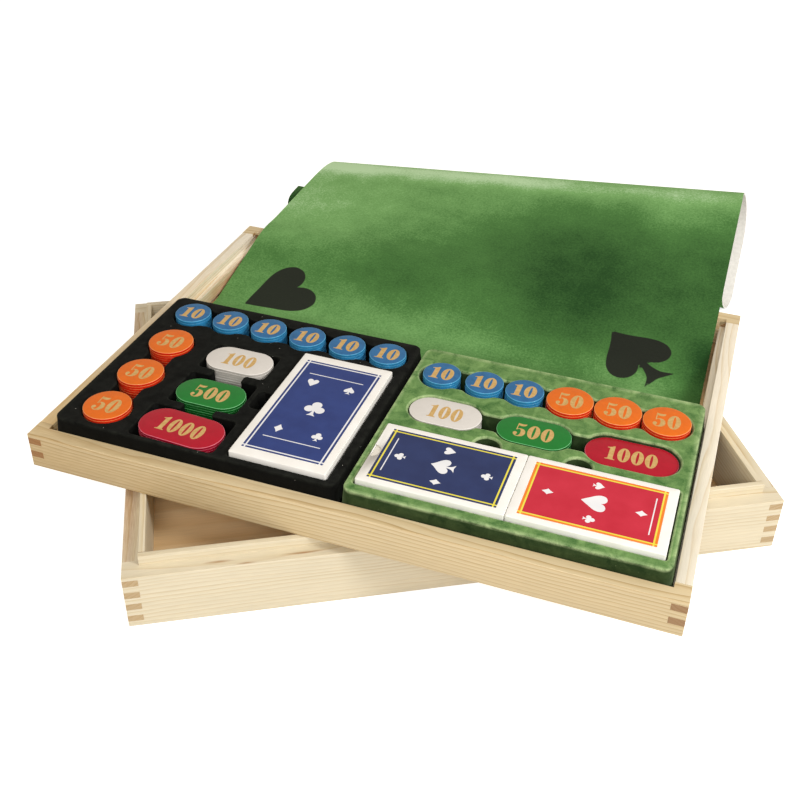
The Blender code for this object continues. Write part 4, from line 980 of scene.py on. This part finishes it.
def printedCarton(node):
    carton = cartons[node]
    low, high = (c * 1000 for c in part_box(node))
    midX, midY = (low.x + high.x) / 2, (low.y + high.y) / 2
    halfX, halfY = (high.x - low.x) / 2, (high.y - low.y) / 2
    panelX, panelY = halfX - carton["panel"][0], halfY - carton["panel"][1]
    inset, line = cartons["lineInset"], cartons["line"]

    def outline(value):
        return ringLoop(-halfX, halfX, -halfY, halfY, cartons["corner"], value, 6)

    patches = Patches()
    border = patches.block(outline, low.z, high.z, cartons["edge"])[1]
    # upright lines and level lines run right through to the panel's edges
    bars = []
    for side in (-1, 1):
        at = side * (panelX - inset)
        bars.append((at - line / 2, at + line / 2, -panelY, panelY))
        at = side * (panelY - inset)
        bars.append((-panelX, panelX, at - line / 2, at + line / 2))
    lineCount = len(bars)
    # rules are thin lines across the panel's short side
    for start, end, at in carton["rules"]:
        below, above = at - cartons["ruleHalf"], at + cartons["ruleHalf"]
        bars.append((start, end, below, above) if carton["ends"] == "y" else (below, above, start, end))
    shapes = [suitLoop(*m) for m in carton["motifs"]]
    panel = boxLoop(-panelX, panelX, -panelY, panelY)
    barLoops = [boxLoop(*bar) for bar in bars]
    innerX, innerY = panelX - inset - line / 2, panelY - inset - line / 2

    def region(x, y):
        if abs(x) > panelX or abs(y) > panelY:
            return 0
        for number, (x0, x1, y0, y1) in enumerate(bars):
            if x0 < x < x1 and y0 < y < y1:
                return 2 if number < lineCount else 3
        if any(inside(loop, x, y) for loop in shapes):
            return 3
        isOuter = abs(x) > innerX or abs(y) > innerY
        return 4 if isOuter and carton["band"] else 1

    patches.flat([border, panel] + barLoops + shapes, [], [high.z] * (2 + len(bars) + len(shapes)), region)
    patches.points = [(x + midX, y + midY, z) for x, y, z in patches.points]
    slots = ["board"] + list(carton["inks"]) + ([carton["band"]] if carton["band"] else [])
    made = patches.make(f"{node}_printed", slots, 40)
    if carton["cutAt"]:
        # the half-round thumb cut through the upper board at one end
        thicken(made, cartons["board"])
        cutter = Patches()
        loop = arc(midX + carton["cutAt"] * halfX, midY, cartons["thumb"]["radius"], 0, 360 - 7.5, 48)
        ends = cutter.rings([(loop, high.z - cartons["thumb"]["depth"]), (loop, high.z + 1)])
        cutter.faces.append(ends[-1])
        cutter.slots.append(0)
        cutObject = cutter.make("thumbCutter", ["board"])
        cutting = made.modifiers.new("thumb", "BOOLEAN")
        cutting.object = cutObject
        cutting.solver = "EXACT"
        bpy.context.view_layer.update()
        shaped = bpy.data.meshes.new_from_object(made.evaluated_get(bpy.context.evaluated_depsgraph_get()))
        made.modifiers.clear()
        made.data = shaped
        bpy.data.objects.remove(cutObject, do_unlink=True)
    settle(made, carton["body"], "carton_board", node)


for node in ("tarot_carton", "blue_carton", "red_carton"):
    printedCarton(node)
for node in ("tarot_deck", "blue_deck", "red_deck"):
    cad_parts[node].data.materials[0] = finishes["cards"]
print("cartons made")


# ---- Felt mat: a ruled sheet between a left and a right side curve

mat = {
    "thickness": 1.7, "solidThickness": 1.8, "length": 520.0, "alongStep": 2.0, "acrossStep": 2.6,
    # places are measured back from the box's front and up from its underside
    "sidePlay": 2.2, "start": 173.0, "trayBack": 171.2, "backSpace": 129.4, "panel": 5.0, "rest": 0.3,
    "rollClearance": 3.0,
    # where a shift to the side starts and how long it runs along the mat, then its left and right size
    "skews": ((0.55, 0.17, 3.0, 8.0), (0.72, 0.2, -11.0, 0.5), (0.81, 0.09, 0.0, -8.5), (0.9, 0.1, 0.0, -4.0)),
    "climb": ((0.13, 0.0), (0.27, 0.0), (0.36, 0.015), (0.485, 0.2), (0.7, 0.54), (1.0, 1.0)),
    "leftRoll": (
        (0.18, 1.010), (0.48, 1.030), (0.80, 1.052), (1.06, 1.064), (1.26, 1.050), (1.44, 0.985),
        (1.58, 0.83), (1.63, 0.62), (1.58, 0.36), (1.44, 0.13), (1.28, 0.0), (1.17, 0.045),
        (1.08, 0.22), (1.045, 0.42), (1.00, 0.62), (0.90, 0.75), (0.77, 0.80), (0.64, 0.83),
        (0.575, 0.91), (0.61, 0.985), (0.72, 1.01), (0.88, 1.01), (1.0, 0.96),
    ),
    "rightRoll": (
        (0.20, 1.115), (0.48, 1.235), (0.75, 1.36), (0.96, 1.465), (1.13, 1.515), (1.32, 1.50),
        (1.50, 1.39), (1.64, 1.20), (1.72, 0.96), (1.725, 0.70), (1.66, 0.42), (1.52, 0.17),
        (1.34, 0.015), (1.22, 0.035), (1.14, 0.19), (1.11, 0.40), (1.09, 0.60), (1.03, 0.80), (0.94, 0.95),
    ),
    # suit, height, middle across the mat, middle along it from the trays' end, turn
    "prints": (("heart", 56, 45, 63, -49.5), ("spade", 59, 326.5, 73.5, 46.5), ("diamond", 58, 48, 452, 0),
               ("club", 56, 330, 452, 0)),
    # brushed areas of the nap, and painted light: middle across and along the mat, half sizes, and how much
    # lighter or darker
    "napAndLightLevel": 0.52,
    # painted are a sheen highlight along the ridge (along 272), the right wall's shadow near across 378, shade
    # on the rising right part near across 340 and shade on the end inside the roll (along 500)
    "napAndPaintedLight": (
        (10, 195, 90, 70, 0.3), (130, 42, 190, 24, 0.09), (338, 40, 30, 20, 0.14), (262, 135, 42, 85, -0.32),
        (140, 118, 50, 46, -0.16), (215, 165, 40, 55, -0.16), (340, 145, 62, 92, -0.27),
        (378, 62, 16, 40, -0.3),
        (50, 106, 90, 26, -0.06), (190, 272, 270, 22, 0.5), (110, 205, 60, 50, 0.05), (190, 62, 260, 22, 0.08),
        (378, 185, 16, 36, -0.12), (375, 84, 14, 20, -0.12), (180, 226, 60, 18, 0.1), (330, 236, 30, 22, 0.18),
        (292, 140, 22, 62, -0.05), (10, 272, 40, 18, 0.22), (252, 276, 44, 14, -0.14), (20, 500, 90, 40, -0.4),
    ),
}


def matSide(roll, count):
    # evenly spaced points and normals of one side curve, in y and z of the box
    box, length, width = boards["box"], boards["length"], boards["width"]
    half = mat["solidThickness"] / 2
    floor = mat["panel"] + mat["rest"] + half
    onRim = box["height"] + 2 * mat["rest"] + half
    # the roll reaches past the cover's corner and down to the table
    turn = math.radians(boards["cover"]["turn"])
    corner = math.sin(turn) * length / 2 + math.cos(turn) * width / 2 - box["middle"][1] + width / 2
    reach = corner + mat["rollClearance"] - width
    table = -box["base"] + mat["rest"] + half
    points = [(mat["start"], floor)]
    points += [(mat["trayBack"] + y * mat["backSpace"], floor + z * (onRim - floor)) for y, z in mat["climb"]]
    points += [(width + y * reach, table + z * (onRim - table)) for y, z in roll]
    curve = np.array(curved(points))
    travelled = lengthsAlong(curve)
    at = np.linspace(0, min(mat["length"], travelled[-1]), count)
    y, z = np.interp(at, travelled, curve[:, 0]), np.interp(at, travelled, curve[:, 1])
    dy, dz = np.gradient(y), np.gradient(z)
    size = np.hypot(dy, dz)
    return y, z, -dz / size, dy / size


def distanceIn(loop, x, y):
    # distance to an outline, positive inside it
    best = np.full(x.shape, 1e9)
    hit = np.zeros(x.shape, bool)
    for (ax, ay), (bx, by) in zip(loop, loop[1:] + loop[:1]):
        ex, ey = bx - ax, by - ay
        t = np.clip(((x - ax) * ex + (y - ay) * ey) / max(ex * ex + ey * ey, 1e-9), 0, 1)
        best = np.minimum(best, np.hypot(x - ax - t * ex, y - ay - t * ey))
        if ay != by:
            hit ^= ((ay > y) != (by > y)) & (x < (bx - ax) * (y - ay) / (by - ay) + ax)
    return np.where(hit, best, -best)


def feltMat():
    runs = round(mat["length"] / mat["alongStep"]) + 1
    left = boards["wall"] + mat["sidePlay"]
    right = boards["length"] - left
    columns = round((right - left) / mat["acrossStep"]) + 1
    sides = (matSide(mat[roll], runs) for roll in ("leftRoll", "rightRoll"))
    share = np.linspace(0, 1, columns)[None, :]
    y, z, ny, nz = (a[:, None] + (b - a)[:, None] * share for a, b in zip(*sides))
    size = np.hypot(ny, nz)
    along = np.linspace(0, 1, runs)[:, None]
    x = left + (right - left) * share + np.zeros((runs, 1))
    for start, run, leftShift, rightShift in mat["skews"]:
        t = np.clip((along - start) / run, 0, 1)
        x = x + (leftShift + (rightShift - leftShift) * share) * t * t * (3 - 2 * t)
    half = mat["thickness"] / 2
    middleX, middleY = boards["box"]["middle"]
    points = []
    for side in (1, -1):
        sideX = x + middleX - boards["length"] / 2
        sideY = y + side * half * ny / size + middleY - boards["width"] / 2
        sideZ = z + side * half * nz / size + boards["box"]["base"]
        points += np.stack([sideX, sideY, sideZ], -1).reshape(-1, 3).tolist()
    under = runs * columns
    faces = []
    faceSlots = []
    for i in range(runs - 1):
        for j in range(columns - 1):
            a = i * columns + j
            quad = (a, a + 1, a + columns + 1, a + columns)
            faces.append(quad)
            faces.append(tuple(q + under for q in quad[::-1]))
            faceSlots += [0, 1]
    rim = [(j, j + 1) for j in range(columns - 1)]
    rim += [((i + 1) * columns - 1, (i + 2) * columns - 1) for i in range(runs - 1)]
    rim += [(under - 1 - j, under - 2 - j) for j in range(columns - 1)]
    rim += [((i + 1) * columns, i * columns) for i in range(runs - 1)]
    for a, b in rim:
        faces.append((b, a, a + under, b + under))
        faceSlots.append(1)
    made = makeObject("playing_mat_felt", points, faces, ["felt", "backing"], faceSlots, 50)
    flatX = np.broadcast_to((right - left) * share, (runs, columns))
    flatY = np.broadcast_to(along * mat["length"], (runs, columns))
    # how far inside a printed suit each point lies; far outside to begin with
    suit = np.full((runs, columns), -50.0)
    for name, height, middleX, middleY, turn in mat["prints"]:
        suit = np.maximum(suit, distanceIn(suitLoop(name, height, middleX, middleY, turn), flatX, flatY))
    # brushed nap plus painted highlight, shadow and shade, from the table in mat
    napAndPaintedLight = np.full((runs, columns), mat["napAndLightLevel"])
    for middleX, middleY, halfX, halfY, amount in mat["napAndPaintedLight"]:
        napAndPaintedLight += amount * np.exp(-((flatX - middleX) / halfX) ** 2 - ((flatY - middleY) / halfY) ** 2)
    for name, field in (("suit", suit), ("napAndPaintedLight", napAndPaintedLight)):
        values = np.concatenate([field.ravel(), field.ravel()]).astype(np.float32)
        made.data.attributes.new(name, "FLOAT", "POINT").data.foreach_set("value", values)
    settle(made, "mat", "mat_felt", "playing_mat")


feltMat()
print("mat made")


# ---- Floor, light and camera

studio = {
    "fillStrength": 0.52, "fillTone": "#fff3e4", "floorTone": "#dcdcdc", "floorGlow": 0.72,
    # lengths from here on are in metres
    "floorHalf": 6, "floorLevel": -0.0002,
    # soft round lamps: power, width and place
    "lamps": {"key": (11.6, 0.4, (1.25, -0.35, 1.0)), "front": (6.0, 0.5, (0.3, -1.05, 0.82))},
}


def seenRays(tree, other):
    # one for rays from the camera and for one other kind of ray, else zero
    rays = addNode(tree, "LightPath")
    return addNode(tree, "Math", {"operation": "MAXIMUM"},
                   {0: rays.outputs["Is Camera Ray"], 1: rays.outputs[other]})


floorMaterial, tree, shader = newMaterial("paperSeamless", {"Roughness": 0.9})
paper = addNode(tree, "TexNoise", {"Scale": 400})
paperTone = addNode(tree, "MapRange", {3: 0.97, 4: 1.0}, {0: paper})
paperColor = addNode(tree, "VectorMath", {"operation": "SCALE", 0: hexColor(studio["floorTone"])[:3]},
                     {"Scale": paperTone})
tree.links.new(paperColor.outputs[0], shader.inputs["Base Color"])
glow = addNode(tree, "Math", {"operation": "MULTIPLY", 1: studio["floorGlow"]},
               {0: seenRays(tree, "Is Glossy Ray")})
shader.inputs["Emission Color"].default_value = (1, 1, 1, 1)
tree.links.new(glow.outputs[0], shader.inputs["Emission Strength"])
half = studio["floorHalf"]
floorMesh = bpy.data.meshes.new("floor")
floorMesh.from_pydata([(x, y, studio["floorLevel"]) for x, y in boxLoop(-half, half, -half, half)],
                      [], [(0, 1, 2, 3)])
floorMesh.materials.append(floorMaterial)
floor = placeObject("floor", floorMesh)

world = bpy.data.worlds.new("studio")
bpy.context.scene.world = world
world.use_nodes = True
tree = world.node_tree
background = tree.nodes["Background"]
seen = seenRays(tree, "Is Transmission Ray")
level = addNode(tree, "MapRange", {3: studio["fillStrength"], 4: 1.0}, {0: seen})
tree.links.new(level.outputs[0], background.inputs["Strength"])
fill = addNode(tree, "MixRGB", {"Color1": hexColor(studio["fillTone"]), "Color2": (1, 1, 1, 1)}, {"Fac": seen})
tree.links.new(fill.outputs[0], background.inputs["Color"])

for name, (power, width, place) in studio["lamps"].items():
    lampData = bpy.data.lights.new(name, "AREA")
    lampData.energy = power
    lampData.shape = "DISK"
    lampData.size = width
    lamp = placeObject(name, lampData)
    lamp.location = place
    lamp.rotation_euler = (-Vector(place)).to_track_quat("-Z", "Y").to_euler()

view = {
    "lens": 47.9448, "shift": (-0.014677, -0.062194), "place": (0.193341, -0.596342, 0.48644),
    "right": (0.943513, 0.330792, 0.018955), "forward": (-0.266451, 0.791512, -0.550012),
}
cameraData = bpy.data.cameras.new("camera")
cameraData.lens = view["lens"]
cameraData.sensor_width = 36
cameraData.shift_x, cameraData.shift_y = view["shift"]
cameraData.clip_start = 0.01
camera = placeObject("camera", cameraData)
back = -Vector(view["forward"]).normalized()
right = Vector(view["right"])
right = (right - back * right.dot(back)).normalized()
up = back.cross(right)
camera.matrix_world = Matrix.Translation(view["place"]) @ Matrix((right, up, back)).transposed().to_4x4()
bpy.context.scene.camera = camera
bpy.context.scene.view_settings.view_transform = "Standard"
print("studio set")
